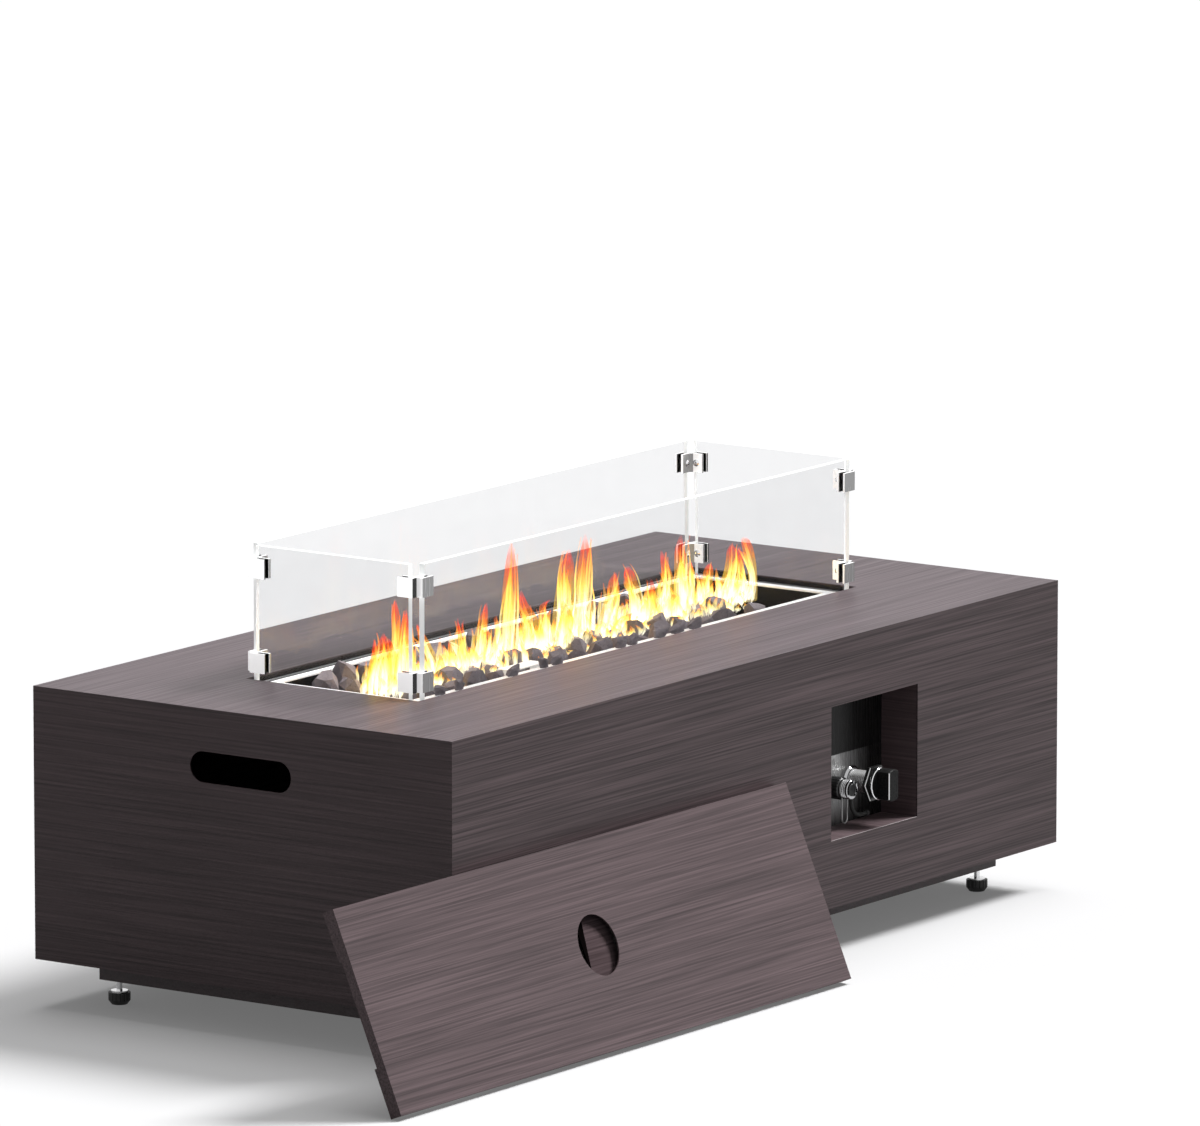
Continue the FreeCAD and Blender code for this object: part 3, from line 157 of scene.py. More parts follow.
def seen_rays(tree):
    """1 for rays of the camera, of mirrors and of glass, and 0 for those that light the part."""
    path = tree.nodes.new("ShaderNodeLightPath").outputs
    seen = compute(tree, "MAXIMUM", path["Is Camera Ray"], path["Is Glossy Ray"])
    return compute(tree, "MAXIMUM", seen, path["Is Transmission Ray"])


def paint(material, *names):
    """Gives the named CAD pieces a material."""
    for name in names:
        materials = NODES[name].data.materials
        materials.clear()
        materials.append(material)


# Materials

BROWN_GREY = (0.081, 0.058, 0.062)
# Light colour of the painted highlight on upward faces
PAINTED_TOP_LIGHT = (0.42, 0.38, 0.385)


def grained(name, along, level=1.0, contrast=1.0, paint_lit_tops=False, middle=BROWN_GREY, across=420.0):
    """Brown-grey finish with streaks along one axis, and with lip, a painted highlight that makes
    upward faces, such as the cut edges, light.

    level is how light it is, which paints light and shade: copies of one finish are lighter or
    darker as light falls on their faces. contrast is how strong the streaks are, and across how
    fine they are.
    """
    material, tree, shader = new_material(name)
    fine = stretched(along, across, 5.0)
    broad = stretched(along, 50.0, 1.6)
    streaks = noise(tree, place_coordinates(tree, fine), 1.0, 3.0, 0.55)
    bands = noise(tree, place_coordinates(tree, broad), 1.0, 4.0, 0.6)
    low = tuple(part - (part - 0.43 * part) * contrast for part in middle)
    high = tuple(part + 0.60 * part * contrast for part in middle)
    fine_colour = ramp(tree, streaks, [(0.30, low), (0.50, middle), (0.70, high)])
    band_colour = ramp(tree, bands, [(0.3, level * (1 - 0.16 * contrast)), (0.5, 0.97 * level),
                                     (0.7, level * (1 + 0.10 * contrast))])
    colour = mix(tree, "MULTIPLY", 1.0, fine_colour, band_colour)
    if paint_lit_tops:
        # Painted highlight: faces that look upward get the light colour
        painted_top_highlight = compute(tree, "GREATER_THAN", parts_of(tree, "Normal")[2], 0.9)
        colour = mix(tree, "MIX", painted_top_highlight, colour, PAINTED_TOP_LIGHT)
    tree.links.new(colour, shader.inputs["Base Color"])
    shader.inputs["Specular IOR Level"].default_value = 0.2
    rough = ramp(tree, streaks, [(0.3, 0.50), (0.7, 0.40)])
    tree.links.new(rough, shader.inputs["Roughness"])
    bump(tree, shader, streaks, 0.25, 0.0004)
    return material


def finger_plate():
    """The grain of the lid without gloss, with painted shade, black, along the slanted cut on the
    plate's left.
    """
    lean = 0.195
    shade_edge_x = -0.3907
    material = grained("grain_plate", "X", 1.18, 0.8)
    tree = material.node_tree
    shader = tree.nodes["Principled BSDF"]
    colour = shader.inputs["Base Color"].links[0].from_socket
    x, _, z = parts_of(tree, "Object")
    slanted = compute(tree, "SUBTRACT", x, compute(tree, "MULTIPLY", z, lean))
    painted_shade = compute(tree, "LESS_THAN", slanted, shade_edge_x)
    # Painted shade: black left of the slanted line
    tree.links.new(mix(tree, "MIX", painted_shade, colour, (0.004, 0.003, 0.003)),
                   shader.inputs["Base Color"])
    shader.inputs["Specular IOR Level"].default_value = 0.0
    return material


def coated(name, colour, rough=0.55, grain=900.0, strength=0.2):
    """Powder-coated or moulded surface with a fine even texture."""
    material, tree, shader = new_material(name)
    speckle = noise(tree, place_coordinates(tree, (grain, grain, grain)), 1.0, 2.0)
    low = tuple(part * 0.75 for part in colour)
    high = tuple(min(part * 1.3, 1.0) for part in colour)
    tree.links.new(ramp(tree, speckle, [(0.35, low), (0.65, high)]), shader.inputs["Base Color"])
    tree.links.new(ramp(tree, speckle, [(0.3, rough - 0.06), (0.7, rough + 0.08)]),
                   shader.inputs["Roughness"])
    bump(tree, shader, speckle, strength, 0.0002)
    return material


def metal(name, colour, rough, brush=None):
    """Bare metal; with a brush axis it gets fine lines along that axis."""
    material, tree, shader = new_material(name)
    shader.inputs["Metallic"].default_value = 1.0
    scale = stretched(brush, 700.0, 8.0) if brush else (700.0, 700.0, 700.0)
    lines = noise(tree, place_coordinates(tree, scale), 1.0, 3.0)
    low = tuple(part * 0.88 for part in colour)
    tree.links.new(ramp(tree, lines, [(0.3, low), (0.7, colour)]), shader.inputs["Base Color"])
    spread = 0.10 if brush else 0.03
    tree.links.new(ramp(tree, lines, [(0.3, max(rough - spread, 0.02)), (0.7, rough + spread)]),
                   shader.inputs["Roughness"])
    bump(tree, shader, lines, 0.08 if brush else 0.02, 0.0001)
    return material


def clear_glass(name, face):
    """Clear pane whose wide faces look along an axis. Its polished narrow edges carry a painted
    highlight: they look white and glow.
    """
    material, tree, shader = new_material(name)
    shader.inputs["Transmission Weight"].default_value = 1.0
    shader.inputs["IOR"].default_value = 1.12
    shader.inputs["Roughness"].default_value = 0.0
    haze = noise(tree, place_coordinates(tree, (40, 40, 40)), 1.0, 2.0)
    tree.links.new(ramp(tree, haze, [(0.3, (0.895, 0.896, 0.899)), (0.7, (0.912, 0.913, 0.915))]),
                   shader.inputs["Base Color"])
    # Painted highlight on the narrow edges: white, and glowing
    painted_edge_highlight = tree.nodes.new("ShaderNodeBsdfPrincipled")
    painted_edge_highlight.inputs["Base Color"].default_value = (0.93, 0.96, 0.95, 1)
    painted_edge_highlight.inputs["Roughness"].default_value = 0.15
    painted_edge_highlight.inputs["Emission Color"].default_value = (1, 1, 1, 1)
    painted_edge_highlight.inputs["Emission Strength"].default_value = 0.35
    across = compute(tree, "ABSOLUTE", parts_of(tree, "Normal")["XYZ".index(face)])
    show(tree, compute(tree, "GREATER_THAN", across, 0.5), painted_edge_highlight, shader)
    return material


def clamp_steel():
    """Polished corner clamp with painted light: a bright painted reflection on the sides, grey on
    the front, and black painted shade on the front faces inside its notch.
    """
    material, tree, shader = new_material("clamp_steel")
    notch_from = 0.3774
    x = parts_of(tree, "Object")[0]
    ny = parts_of(tree, "Normal")[1]
    front = compute(tree, "GREATER_THAN", compute(tree, "ABSOLUTE", ny), 0.5)
    notch = compute(tree, "GREATER_THAN", compute(tree, "ABSOLUTE", x), notch_from)
    painted_shading = compute(tree, "MULTIPLY", front, compute(tree, "ADD", notch, 1.0))
    painted_shading = compute(tree, "DIVIDE", painted_shading, 2.0)
    # Painted light: 0 is a side face, bright; 0.5 a front face, grey; and 1 a front face in the
    # notch, black as painted shade
    colour = ramp(tree, painted_shading, [(0.25, 0.92), (0.3, 0.2), (0.7, 0.2), (0.75, 0.004)])
    tree.links.new(colour, shader.inputs["Base Color"])
    tree.links.new(colour, shader.inputs["Emission Color"])
    # The painted light glows as well
    shader.inputs["Emission Strength"].default_value = 0.6
    shader.inputs["Metallic"].default_value = 0.4
    lines = noise(tree, place_coordinates(tree, (300, 300, 40)), 1.0, 2.0)
    tree.links.new(ramp(tree, lines, [(0.3, 0.2), (0.7, 0.3)]), shader.inputs["Roughness"])
    return material


def panel_steel():
    """Polished steel plate whose upper part has a black coat. A painted reflection is bright on its
    left and darkens further away.
    """
    material, tree, shader = new_material("panel_steel")
    highlight_x, highlight_z = 0.184, 0.176
    coat_from = 0.189
    x, _, z = parts_of(tree, "Object")
    across = compute(tree, "POWER", compute(tree, "SUBTRACT", x, highlight_x), 2.0)
    up = compute(tree, "POWER", compute(tree, "SUBTRACT", z, highlight_z), 2.0)
    # Distance from the middle of the painted reflection, in decimetres because a ramp runs from 0
    # to 1
    far = compute(tree, "MULTIPLY", compute(tree, "SQRT", compute(tree, "ADD", across, up)), 10.0)
    painted_reflection = ramp(tree, far, [(0.0, 0.80), (0.12, 0.62), (0.2, 0.30), (0.28, 0.24), (0.45, 0.21),
                            (0.7, 0.035)])
    bare = compute(tree, "LESS_THAN", z, coat_from)
    lines = noise(tree, place_coordinates(tree, (500, 500, 12)), 1.0, 3.0)
    colour = mix(tree, "MULTIPLY", 0.35, painted_reflection, ramp(tree, lines, [(0.3, 0.6), (0.7, 1.0)]))
    colour = mix(tree, "MIX", bare, (0.012, 0.012, 0.012), colour)
    tree.links.new(colour, shader.inputs["Base Color"])
    tree.links.new(compute(tree, "MULTIPLY", bare, 0.55), shader.inputs["Metallic"])
    tree.links.new(ramp(tree, lines, [(0.3, 0.22), (0.7, 0.34)]), shader.inputs["Roughness"])
    shader.inputs["Specular IOR Level"].default_value = 0.12
    return material


def pan_steel(name, height):
    """Black below a height, and bare bright steel above it, which glows as painted light."""
    material, tree, shader = new_material(name)
    bare = compute(tree, "GREATER_THAN", parts_of(tree, "Object")[2], height)
    speckle = noise(tree, place_coordinates(tree, (700, 700, 700)), 1.0, 2.0)
    black_below = ramp(tree, speckle, [(0.3, 0.008), (0.7, 0.02)])
    steel = ramp(tree, speckle, [(0.3, 0.80), (0.7, 0.92)])
    tree.links.new(mix(tree, "MIX", bare, black_below, steel), shader.inputs["Base Color"])
    tree.links.new(compute(tree, "MULTIPLY", bare, 0.25), shader.inputs["Metallic"])
    tree.links.new(ramp(tree, speckle, [(0.3, 0.35), (0.7, 0.5)]), shader.inputs["Roughness"])
    shader.inputs["Specular IOR Level"].default_value = 0.15
    # Painted light: the bare steel glows though it is no lamp
    tree.links.new(compute(tree, "MULTIPLY", bare, 0.3), shader.inputs["Emission Strength"])
    shader.inputs["Emission Color"].default_value = (1, 1, 1, 1)
    return material


def knob_black():
    """Gloss black, with a painted highlight that glows on the bevels between its left and front
    faces.
    """
    material, tree, shader = new_material("knob_black")
    nx, ny, _ = parts_of(tree, "Normal")
    # Painted highlight where a face looks diagonally, as the bevels between the left and front
    # faces do
    corner = compute(tree, "MULTIPLY", nx, ny)
    painted_edge_highlight = ramp(tree, corner, [(0.25, 0.0), (0.40, 1.0)])
    speckle = noise(tree, place_coordinates(tree, (500, 500, 500)), 1.0, 2.0)
    black = ramp(tree, speckle, [(0.3, 0.012), (0.7, 0.03)])
    colour = mix(tree, "MIX", painted_edge_highlight, black, (0.9, 0.9, 0.9))
    tree.links.new(colour, shader.inputs["Base Color"])
    tree.links.new(painted_edge_highlight, shader.inputs["Emission Color"])
    shader.inputs["Emission Strength"].default_value = 0.4
    shader.inputs["Roughness"].default_value = 0.35
    shader.inputs["Specular IOR Level"].default_value = 0.04
    return material


def nut_steel(front):
    """Dark plated nut with a painted highlight that glows on the faces looking left, in front of a
    place along Y.
    """
    material, tree, shader = new_material("nut_steel")
    y = parts_of(tree, "Object")[1]
    nx = parts_of(tree, "Normal")[0]
    # Painted highlight: faces that look left, in front of the given place
    painted_left_highlight = compute(tree, "MULTIPLY", compute(tree, "LESS_THAN", nx, -0.3),
                  compute(tree, "LESS_THAN", y, front))
    speckle = noise(tree, place_coordinates(tree, (600, 600, 600)), 1.0, 2.0)
    dark = ramp(tree, speckle, [(0.3, 0.05), (0.7, 0.09)])
    tree.links.new(mix(tree, "MIX", painted_left_highlight, dark, (0.95, 0.95, 0.95)), shader.inputs["Base Color"])
    tree.links.new(painted_left_highlight, shader.inputs["Emission Color"])
    shader.inputs["Emission Strength"].default_value = 0.4
    shader.inputs["Metallic"].default_value = 0.8
    shader.inputs["Roughness"].default_value = 0.3
    return material


def threaded_steel():
    """Bright threaded neck: fine rings round its axis with painted shade in their grooves, and a
    painted highlight that glows on its upward faces, most on the ring crests.
    """
    material, tree, shader = new_material("threaded_steel")
    shader.inputs["Metallic"].default_value = 1.0
    rings = tree.nodes.new("ShaderNodeTexWave")
    rings.bands_direction = "Y"
    rings.inputs["Scale"].default_value = 150.0
    tree.links.new(place_coordinates(tree, (1, 1, 1)), rings.inputs["Vector"])
    height = rings.outputs["Fac"]
    # Painted shade: the grooves between the rings are darker
    tree.links.new(ramp(tree, height, [(0.2, 0.42), (0.8, 0.88)]), shader.inputs["Base Color"])
    tree.links.new(ramp(tree, height, [(0.0, 0.32), (1.0, 0.22)]), shader.inputs["Roughness"])
    # Painted highlight on the faces that look upward
    painted_top_highlight = ramp(tree, parts_of(tree, "Normal")[2], [(0.55, 0.0), (0.85, 0.9)])
    tree.links.new(painted_top_highlight, shader.inputs["Emission Color"])
    tree.links.new(ramp(tree, height, [(0.2, 0.15), (0.8, 0.6)]),
                   shader.inputs["Emission Strength"])
    bump(tree, shader, height, 0.6, 0.0004)
    return material


def rock_material():
    """Grey-brown porous stone with lighter patches."""
    material, tree, shader = new_material("lava_rock_stone")
    place = place_coordinates(tree, (1, 1, 1))
    patches = noise(tree, place, 28.0, 4.0)
    pores = tree.nodes.new("ShaderNodeTexVoronoi")
    pores.inputs["Scale"].default_value = 420.0
    tree.links.new(place, pores.inputs["Vector"])
    rough_noise = noise(tree, place, 260.0, 6.0, 0.7)
    base = ramp(tree, patches, [(0.3, (0.125, 0.108, 0.118)), (0.55, (0.215, 0.188, 0.203)),
                                (0.75, (0.33, 0.295, 0.315))])
    holes = ramp(tree, pores.outputs["Distance"], [(0.1, 0.45), (0.35, 1.0)])
    tree.links.new(mix(tree, "MULTIPLY", 0.6, base, holes), shader.inputs["Base Color"])
    shader.inputs["Roughness"].default_value = 0.92
    height = mix(tree, "MULTIPLY", 1.0, rough_noise, holes)
    bump(tree, shader, height, 0.7, 0.0015)
    return material


def flame_material(name, glow_stops, tint_stops, strength, cover):
    """Glowing gas: layers add up, so a thin edge is coloured and a dense middle is white.

    The stops run from a tongue's root to its tip: what it gives off, how it tints what is behind
    it, and how much of it is there.
    """
    material, tree, shader = new_material(name)
    tree.nodes.remove(shader)
    height = tree.nodes.new("ShaderNodeAttribute")
    height.attribute_name = "rise"
    rise = height.outputs["Fac"]
    glow = tree.nodes.new("ShaderNodeEmission")
    glow.inputs["Strength"].default_value = strength
    tree.links.new(ramp(tree, rise, glow_stops), glow.inputs["Color"])
    tinted = tree.nodes.new("ShaderNodeBsdfTransparent")
    tree.links.new(ramp(tree, rise, tint_stops), tinted.inputs["Color"])
    gas = tree.nodes.new("ShaderNodeAddShader")
    tree.links.new(glow.outputs["Emission"], gas.inputs[0])
    tree.links.new(tinted.outputs["BSDF"], gas.inputs[1])
    clear = tree.nodes.new("ShaderNodeBsdfTransparent")
    streaks = noise(tree, place_coordinates(tree, (260, 260, 22)), 1.0, 3.0, 0.6)
    broken = mix(tree, "MULTIPLY", 1.0, ramp(tree, rise, cover),
                 ramp(tree, streaks, [(0.36, 0.35), (0.56, 1.0)]))
    show(tree, broken, clear, gas)
    return material


def floor_material():
    """White floor: the camera, mirrors and glass see it bright, and it throws little light back."""
    material, tree, shader = new_material("floor_white")
    tree.nodes.remove(shader)
    seen = tree.nodes.new("ShaderNodeBsdfPrincipled")
    seen.inputs["Base Color"].default_value = (0.57, 0.57, 0.575, 1)
    seen.inputs["Roughness"].default_value = 1.0
    seen.inputs["Specular IOR Level"].default_value = 0.0
    seen.inputs["Emission Color"].default_value = (1, 1, 1, 1)
    seen.inputs["Emission Strength"].default_value = 0.14
    unseen = tree.nodes.new("ShaderNodeBsdfDiffuse")
    unseen.inputs["Color"].default_value = (0.16, 0.16, 0.16, 1)
    show(tree, seen_rays(tree), unseen, seen)
    return material


# Mesh helpers

def mesh_object(name, build, material, body):
    """Makes a piece from a bmesh that the build function fills."""
    mesh = bpy.data.meshes.new(name)
    work = bmesh.new()
    build(work)
    bmesh.ops.recalc_face_normals(work, faces=work.faces)
    work.to_mesh(mesh)
    work.free()
    for face in mesh.polygons:
        face.use_smooth = True
    item = bpy.data.objects.new(name, mesh)
    bpy.context.scene.collection.objects.link(item)
    item.data.materials.append(material)
    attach(item, body)


def wave(*seeds):
    """A repeatable number between -1 and 1."""
    total = sum(seed * factor for seed, factor in zip(seeds, (12.9898, 78.233, 37.719, 9.151)))
    value = math.sin(total) * 43758.5453
    return 2 * (value - math.floor(value)) - 1


# Flames: tongues over the burner, each a thin veil round a bright core
# A tongue is its place along Y and its rows (x, height, half width) from root to tip, in mm

TONGUES = [
    (-18, ((-327, 310, 15.7), (-327, 328, 17), (-324, 347, 13.3), (-323, 359, 7.4),
           (-324, 372, 1.1))),
    (-26, ((-353, 315, 5.5), (-352, 334, 5.2), (-350, 352, 4.1), (-350, 371, 0.7))),
    (-6, ((-296, 305, 7.4), (-294, 328, 7.8), (-294, 348, 4.8), (-294, 361, 0.9))),
    (8, ((-268, 301, 11.1), (-265, 329, 8.9), (-262, 355, 7), (-261, 375, 5.5), (-261, 393, 1.1))),
    (-16, ((-285, 307, 16.6), (-282, 330, 14.8), (-280, 351, 10.3), (-279, 370, 6.3),
           (-280, 389, 1.1))),
    (6, ((-207, 305, 10.2), (-210, 323, 9.6), (-218, 341, 6.3), (-228, 355, 3.3),
         (-236, 365, 0.9))),
    (-24, ((-234, 314, 8.9), (-235, 323, 6.6), (-238, 332, 3.3), (-239, 338, 0.7))),
    (2, ((-179, 304, 10.2), (-180, 316, 8.3), (-182, 327, 4.8), (-183, 338, 0.9))),
    (-14, ((-184, 308, 11.5), (-185, 324, 8.9), (-187, 338, 4.4), (-188, 353, 1.8),
           (-189, 366, 0.7))),
    (-12, ((-174, 307, 5.5), (-177, 327, 4.1), (-180, 343, 2), (-181, 363, 0.7))),
    (-2, ((-148, 303, 12.9), (-141, 320, 11.8), (-137, 335, 9.2), (-133, 349, 7.8),
          (-132, 361, 4.8), (-131, 372, 1.1))),
    (12, ((-110, 301, 7.4), (-107, 316, 5.2), (-104, 330, 3.7), (-110, 339, 1.1))),
    (-8, ((-111, 305, 19.4), (-105, 315, 18.1), (-99, 332, 12.2), (-97, 352, 11.1),
          (-96, 372, 11.5), (-94, 393, 9.2), (-92, 410, 5.9), (-89, 428, 1.1))),
    (4, ((-41, 299, 22.2), (-37, 315, 19.4), (-41, 329, 14.8), (-46, 345, 9.6), (-52, 358, 5.5),
         (-56, 372, 0.9))),
    (14, ((-8, 301, 11.1), (-6, 323, 8.5), (-4, 336, 6.3), (-5, 348, 4.4), (4, 353, 1.5))),
    (8, ((19, 305, 20.3), (22, 336, 16.6), (22, 364, 12.2), (23, 384, 9.6), (26, 402, 1.1))),
    (-12, ((18, 307, 22.2), (20, 336, 15.7), (25, 360, 11.5), (26, 381, 9.6), (27, 400, 6.6),
           (29, 419, 0.9))),
    (-30, ((-37, 315, 12.9), (-32, 335, 11.1), (-30, 349, 7.4), (-32, 362, 1.5))),
    (-6, ((72, 305, 18.5), (78, 324, 13.3), (85, 339, 10.3), (91, 352, 8.5), (92, 362, 5.5),
          (95, 369, 1.3))),
    (12, ((157, 302, 14.8), (159, 318, 11.8), (155, 334, 8.9), (148, 349, 7.8), (142, 359, 7),
          (136, 368, 2.2))),
    (-24, ((75, 311, 16.6), (79, 321, 11.1), (84, 328, 5.5), (89, 331, 1.1))),
    (0, ((164, 305, 11.1), (162, 323, 6.6), (162, 338, 4.8), (163, 352, 1.1))),
    (-14, ((162, 309, 20.3), (165, 328, 17.5), (168, 344, 12.2), (170, 358, 6.3), (168, 369, 4.4),
           (165, 382, 0.9))),
    (4, ((229, 306, 21.2), (228, 325, 17), (225, 344, 12.2), (224, 360, 9.2), (223, 374, 6.3),
         (224, 388, 1.1))),
    (14, ((256, 309, 8.5), (256, 328, 5.5), (256, 342, 3.7), (250, 357, 1.1))),
    (-20, ((180, 311, 16.6), (175, 324, 11.1), (172, 333, 4.8), (168, 339, 0.9))),
    (8, ((278, 299, 13.3), (278, 313, 10), (275, 329, 7), (275, 340, 7.4), (277, 347, 4.8),
         (281, 350, 1.1))),
    (-10, ((276, 307, 18.5), (282, 321, 15.1), (289, 337, 11.1), (294, 352, 8.9), (296, 362, 6.6),
           (297, 369, 1.8))),
    (4, ((326, 302, 11.1), (329, 316, 6.3), (332, 332, 4.4), (332, 347, 4.4), (328, 361, 1.5))),
    (-2, ((336, 304, 11.8), (343, 317, 7.4), (344, 330, 7), (342, 342, 7.4), (336, 356, 7.8),
          (329, 367, 6.3), (323, 372, 2.6))),
]


def smoothed(rows, levels):
    """Evenly spaced rows on a smooth curve through the given rows."""
    made = []
    for level in range(levels):
        place = level / (levels - 1) * (len(rows) - 1)
        index = min(int(place), len(rows) - 2)
        part = place - index
        before = rows[max(index - 1, 0)]
        after = rows[min(index + 2, len(rows) - 1)]
        row = []
        for p0, p1, p2, p3 in zip(before, rows[index], rows[index + 1], after):
            row.append(0.5 * (2 * p1 + (p2 - p0) * part
                              + (2 * p0 - 5 * p1 + 4 * p2 - p3) * part ** 2
                              + (3 * p1 - p0 - 3 * p2 + p3) * part ** 3))
        made.append(row)
    return made


def tongue(work, rise, y, rows, size, seed, sides=14, levels=20):
    """A lofted flame with upright folds. Its sections follow the rows."""
    sway, folds, depth, twist = 3.0, 0.16, 0.55, 0.4
    thinnest = 0.4
    rings = []
    for level, (x, z, half) in enumerate(smoothed(rows, levels)):
        share = level / (levels - 1)
        drift = sway * math.sin(share * 4.3 + seed) * share
        ring = []
        for side in range(sides):
            angle = 2 * math.pi * side / sides + twist * share
            fold = 1 + folds * wave(side, seed) * min(share * 3, 1)
            radius = max(half, thinnest) * size * fold
            vert = work.verts.new(((x + radius * math.cos(angle)) / 1000,
                                   (y + drift + depth * radius * math.sin(angle)) / 1000,
                                   z / 1000))
            vert[rise] = share
            ring.append(vert)
        rings.append(ring)
    for lower, upper in zip(rings, rings[1:]):
        for side in range(sides):
            following = (side + 1) % sides
            work.faces.new((lower[side], lower[following], upper[following], upper[side]))


def strands(rows, y, seed):
    """Narrow upright streaks that fill a tongue. Those near its middle are taller."""
    spacing = 2.1
    widest = max(half for x, z, half in rows)
    root = rows[0][1]
    made = []
    count = max(int(widest / spacing), 3)
    for index in range(count):
        across = (2 * (index + 0.5) / count - 1) + 0.12 * wave(index, seed)
        tall = 1.0 - 0.5 * abs(across) ** 1.5 + 0.08 * wave(index, seed, 3)
        sunk = 5 * wave(index, seed, 5)
        width = 2.3 + 0.9 * wave(index, seed, 7)
        narrow = []
        for level, (x, z, half) in enumerate(rows):
            share = level / (len(rows) - 1)
            narrow.append((x + 0.8 * across * half, root + sunk * (1 - share) + (z - root) * tall,
                           width * (0.35 if level == 0 else 1.0 - 0.7 * share)))
        made.append((y + 0.4 * widest * wave(index, seed, 9), narrow))
    return made


# Rows of low flames: the place along Y, the height of the root and the height of the flame

LOW_ROWS = [(-40, 311, 18), (-30, 312, 26), (-16, 313, 31), (2, 311, 33), (20, 310, 27)]


def low_flames():
    """Short uneven streaks that root among the rocks along the burner.

    slant moves a row's ends along X for each millimetre of its place along Y.
    """
    spacing = 4.4
    slant = 1.445
    made = []
    for row, (y, low, tall) in enumerate(LOW_ROWS):
        start = max(-335, -333 + slant * y)
        end = min(342, 338 + slant * y)
        for index in range(int((end - start) / spacing)):
            x = start + spacing * index + 2.4 * wave(index, row)
            swell = 0.62 + 0.42 * math.sin(x / 27 + 1.7 * row) + 0.2 * math.sin(x / 11 + 2 * row)
            height = tall * max(swell, 0.2) * (1 + 0.35 * wave(index, row, 3))
            half = 3.1 + 1.0 * wave(index, row, 7)
            lean = 4 * wave(index, row, 5) - 1.5
            root = low - 5 * abs(wave(index, row, 9))
            made.append((y + 5 * wave(index, row, 11),
                         ((x - 3 - lean * 0.4, root, 0.3), (x, root + height * 0.35, half),
                          (x + lean * 0.4, root + height * 0.7, half * 0.8),
                          (x + lean, root + height, 0.3))))
    return made


def add_flames():
    """Two pieces that ride on the table: the thin outer flames and the dense inner ones."""
    veil = flame_material(
        "flame_veil",
        [(0.0, (1.0, 0.72, 0.22)), (0.45, (1.0, 0.62, 0.08)), (0.68, (1.0, 0.24, 0.03)),
         (0.84, (1.0, 0.05, 0.03)), (1.0, (0.9, 0.05, 0.06))],
        [(0.0, (0.70, 0.66, 0.52)), (0.5, (0.85, 0.72, 0.46)), (0.8, (1.0, 0.58, 0.46)),
         (1.0, (1.0, 0.86, 0.86))],
        0.42, [(0.0, 0.8), (0.6, 0.9), (0.88, 0.9), (1.0, 0.1)])
    core = flame_material(
        "flame_core",
        [(0.0, (1.0, 0.98, 0.88)), (0.4, (1.0, 0.95, 0.62)), (0.62, (1.0, 0.80, 0.22)),
         (0.82, (1.0, 0.42, 0.05)), (1.0, (1.0, 0.10, 0.02))],
        [(0.0, (1.0, 1.0, 0.97)), (0.6, (1.0, 0.94, 0.80)), (1.0, (1.0, 0.80, 0.66))],
        0.50, [(0.0, 1.0), (0.8, 1.0), (1.0, 0.6)])

    def build_veil(work):
        rise = work.verts.layers.float.new("rise")
        for index, (y, rows) in enumerate(TONGUES):
            tongue(work, rise, y, rows, 1.0, index * 1.3)

    def build_core(work):
        rise = work.verts.layers.float.new("rise")
        core_height, core_width = 0.78, 0.62
        for index, (y, rows) in enumerate(TONGUES):
            root = rows[0][1]
            short = [(x, root + core_height * (z - root), half) for x, z, half in rows]
            tongue(work, rise, y, short, core_width, index * 1.9, 12, 14)
            for part, (place, narrow) in enumerate(strands(rows, y, index * 1.3)):
                tongue(work, rise, place, narrow, 1.0, index + part * 0.7, 5, 10)
        for index, (y, rows) in enumerate(low_flames()):
            tongue(work, rise, y, rows, 1.0, index * 0.7, 5, 5)

    mesh_object("flames_outer", build_veil, veil, "table")
    mesh_object("flames_core", build_core, core, "table")


# Lights

def add_sun(name, towards, strength, spread):
    """An even soft light that comes from a direction."""
    data = bpy.data.lights.new(name, "SUN")
    data.energy = strength
    data.angle = math.radians(spread)
    light = bpy.data.objects.new(name, data)
    light.rotation_mode = "QUATERNION"
    light.rotation_quaternion = Vector(towards).to_track_quat("Z", "Y")
    bpy.context.scene.collection.objects.link(light)


def add_lights():
    """Two soft suns, and a world that lights the part dimly and looks white."""
    world = bpy.data.worlds.new("studio")
    bpy.context.scene.world = world
    world.use_nodes = True
    tree = world.node_tree
    background = tree.nodes["Background"]
    background.inputs["Color"].default_value = (1, 1, 1, 1)
    background.inputs["Strength"].default_value = 0.2
    bright = tree.nodes.new("ShaderNodeBackground")
    bright.inputs["Color"].default_value = (1, 1, 1, 1)
    bright.inputs["Strength"].default_value = 1.0
    show(tree, seen_rays(tree), background, bright, "World Output")
    add_sun("key", (0.70, -0.36, 1.0), 4.1, 20)
    add_sun("top_light", (0.15, 0.05, 1.0), 1.0, 30)


def add_floor(material):
    """A plain floor, half a millimetre under the feet."""
    half = 60
    drop = 0.0005
    corners = [(-half, -half, 0), (half, -half, 0), (half, half, 0), (-half, half, 0)]
    mesh = bpy.data.meshes.new("floor")
    mesh.from_pydata(corners, [], [(0, 1, 2, 3)])
    floor = bpy.data.objects.new("floor", mesh)
    floor.location.z = -drop
    floor.data.materials.append(material)
    bpy.context.scene.collection.objects.link(floor)


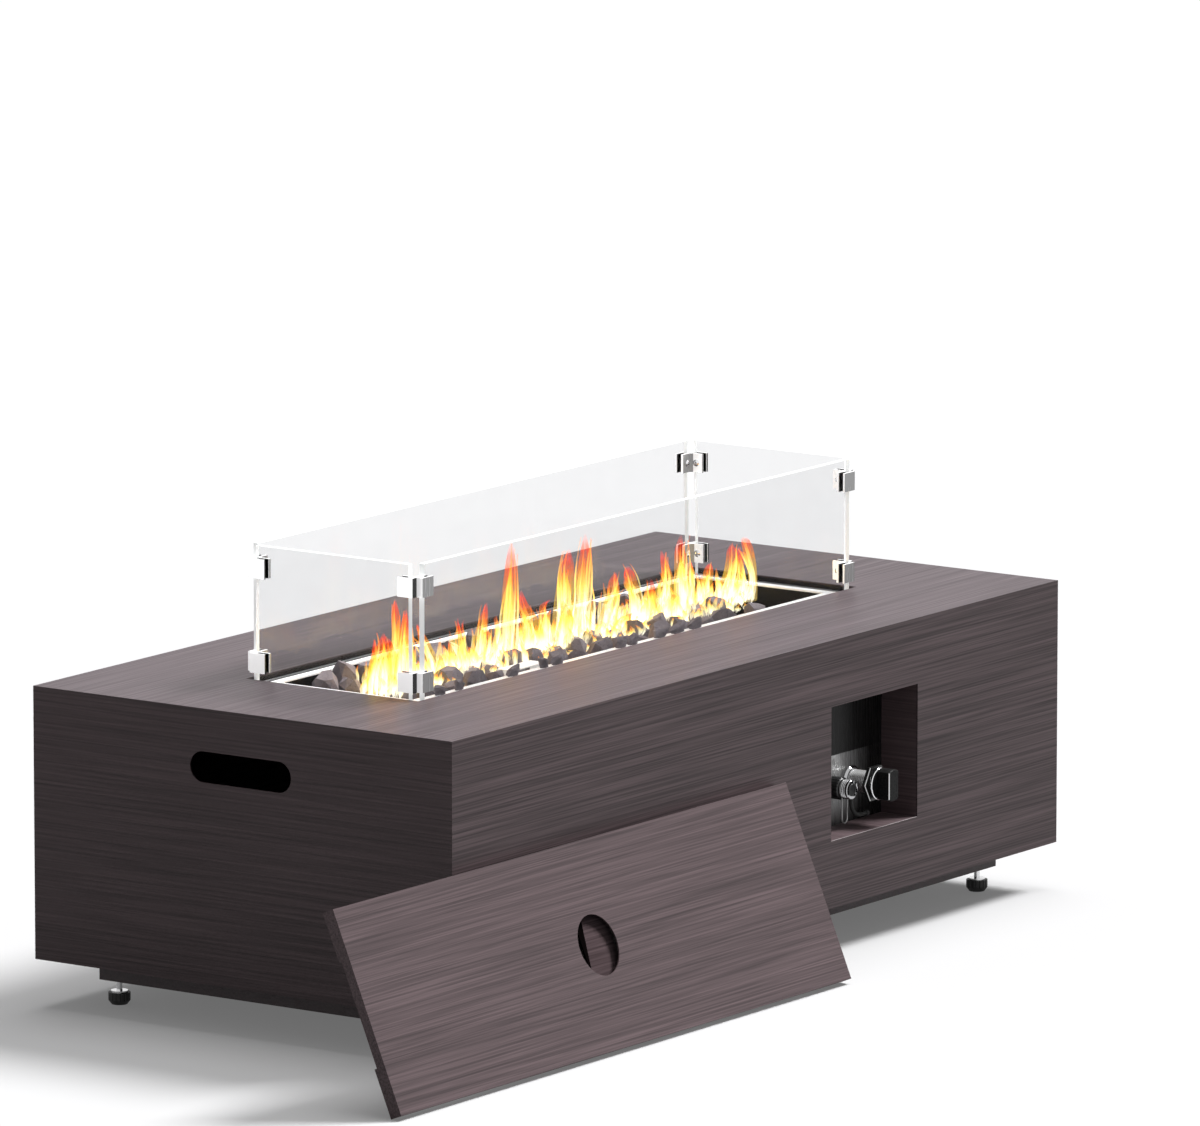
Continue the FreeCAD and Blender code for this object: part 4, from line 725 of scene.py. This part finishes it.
def dress_nodes():
    """Gives every CAD piece its material."""
    flange_from = 0.3155
    hood_from = 0.2
    # Place along Y in front of which the nut has a painted highlight
    highlight_before = -0.2389
    # The levels paint light and shade onto copies of one finish: lighter on the control box, the
    # lid, its plate and the top, darker on the front, back and ends
    paint(grained("grain_top", "X", 1.07, 0.55, middle=(0.081, 0.060, 0.067)), "top_panel")
    paint(grained("grain_front", "X", 0.95, 1.1, paint_lit_tops=True, across=580.0), "front_panel")
    paint(grained("grain_long", "X", 0.95, 1.1), "back_panel")
    paint(grained("grain_cross", "Y", 0.97, 0.85), "left_end_panel", "right_end_panel")
    paint(grained("grain_box", "Y", 1.62, 0.5), "control_box")
    paint(grained("grain_lid", "X", 1.27, 0.8, across=520.0), "lid_panel")
    paint(finger_plate(), "lid_finger_plate")
    paint(coated("plinth_coat", (0.066, 0.050, 0.053), 0.6, 300.0, 0.1), "plinth_frame")
    paint(coated("black_coat", (0.018, 0.018, 0.019), 0.5), "base_plate", "corner_posts")
    paint(metal("dark_steel", (0.035, 0.033, 0.033), 0.45, "X"), "ledge_frame")
    paint(pan_steel("pan_steel", flange_from), "burner_pan")
    paint(pan_steel("hood_steel", hood_from), "pilot_hood")
    paint(metal("heat_stained_steel", (0.22, 0.20, 0.19), 0.4, "X"),
          "burner_tube", "burner_saddles", "flame_probe")
    paint(coated("white_ceramic", (0.82, 0.80, 0.75), 0.3, 300.0, 0.05), "spark_electrode")
    paint(rock_material(), "lava_rocks")
    paint(metal("satin_steel", (0.66, 0.65, 0.63), 0.28, "X"), "burner_feed_tube", "inlet_tube")
    paint(metal("satin_brass", (0.72, 0.53, 0.25), 0.3), "gas_inlet", "valve_plug")
    paint(panel_steel(), "control_panel")
    paint(threaded_steel(), "valve_body")
    paint(metal("shaded_chrome", (0.46, 0.46, 0.47), 0.1), "valve_bell", "igniter_collar")
    paint(nut_steel(highlight_before), "valve_nut")
    paint(metal("polished_chrome", (0.86, 0.86, 0.87), 0.06),
          "knob_trim", "valve_stem", "clamp_screws")
    paint(knob_black(), "control_knob")
    paint(coated("gloss_black", (0.010, 0.010, 0.011), 0.34, 500.0, 0.05),
          "igniter_body", "igniter_nut", "igniter_button")
    paint(metal("dull_wire", (0.34, 0.34, 0.34), 0.35), "rod_holder")
    paint(coated("dull_black", (0.006, 0.006, 0.006), 0.8, 500.0, 0.05), "igniter_hook")
    paint(coated("matt_black", (0.008, 0.008, 0.008), 0.5, 700.0, 0.1),
          "foot_cap_front_left", "foot_cap_front_right", "foot_cap_back_left",
          "foot_cap_back_right")
    paint(metal("bright_zinc", (0.75, 0.75, 0.76), 0.16),
          "foot_inserts", "panel_screws", "foot_stud_front_left", "foot_stud_front_right",
          "foot_stud_back_left", "foot_stud_back_right")
    paint(clear_glass("pane_glass_long", "Y"), "glass_front", "glass_back")
    paint(clear_glass("pane_glass_short", "X"), "glass_left", "glass_right")
    paint(clamp_steel(), "clamps_front_left", "clamps_front_right", "clamps_back_right",
          "clamps_back_left")
    paint(coated("pad_rubber", (0.55, 0.55, 0.55), 0.5, 500.0, 0.1), "clamp_pads")


add_camera()
add_floor(floor_material())
add_lights()
dress_nodes()
add_flames()

bpy.context.scene.view_settings.view_transform = "Standard"
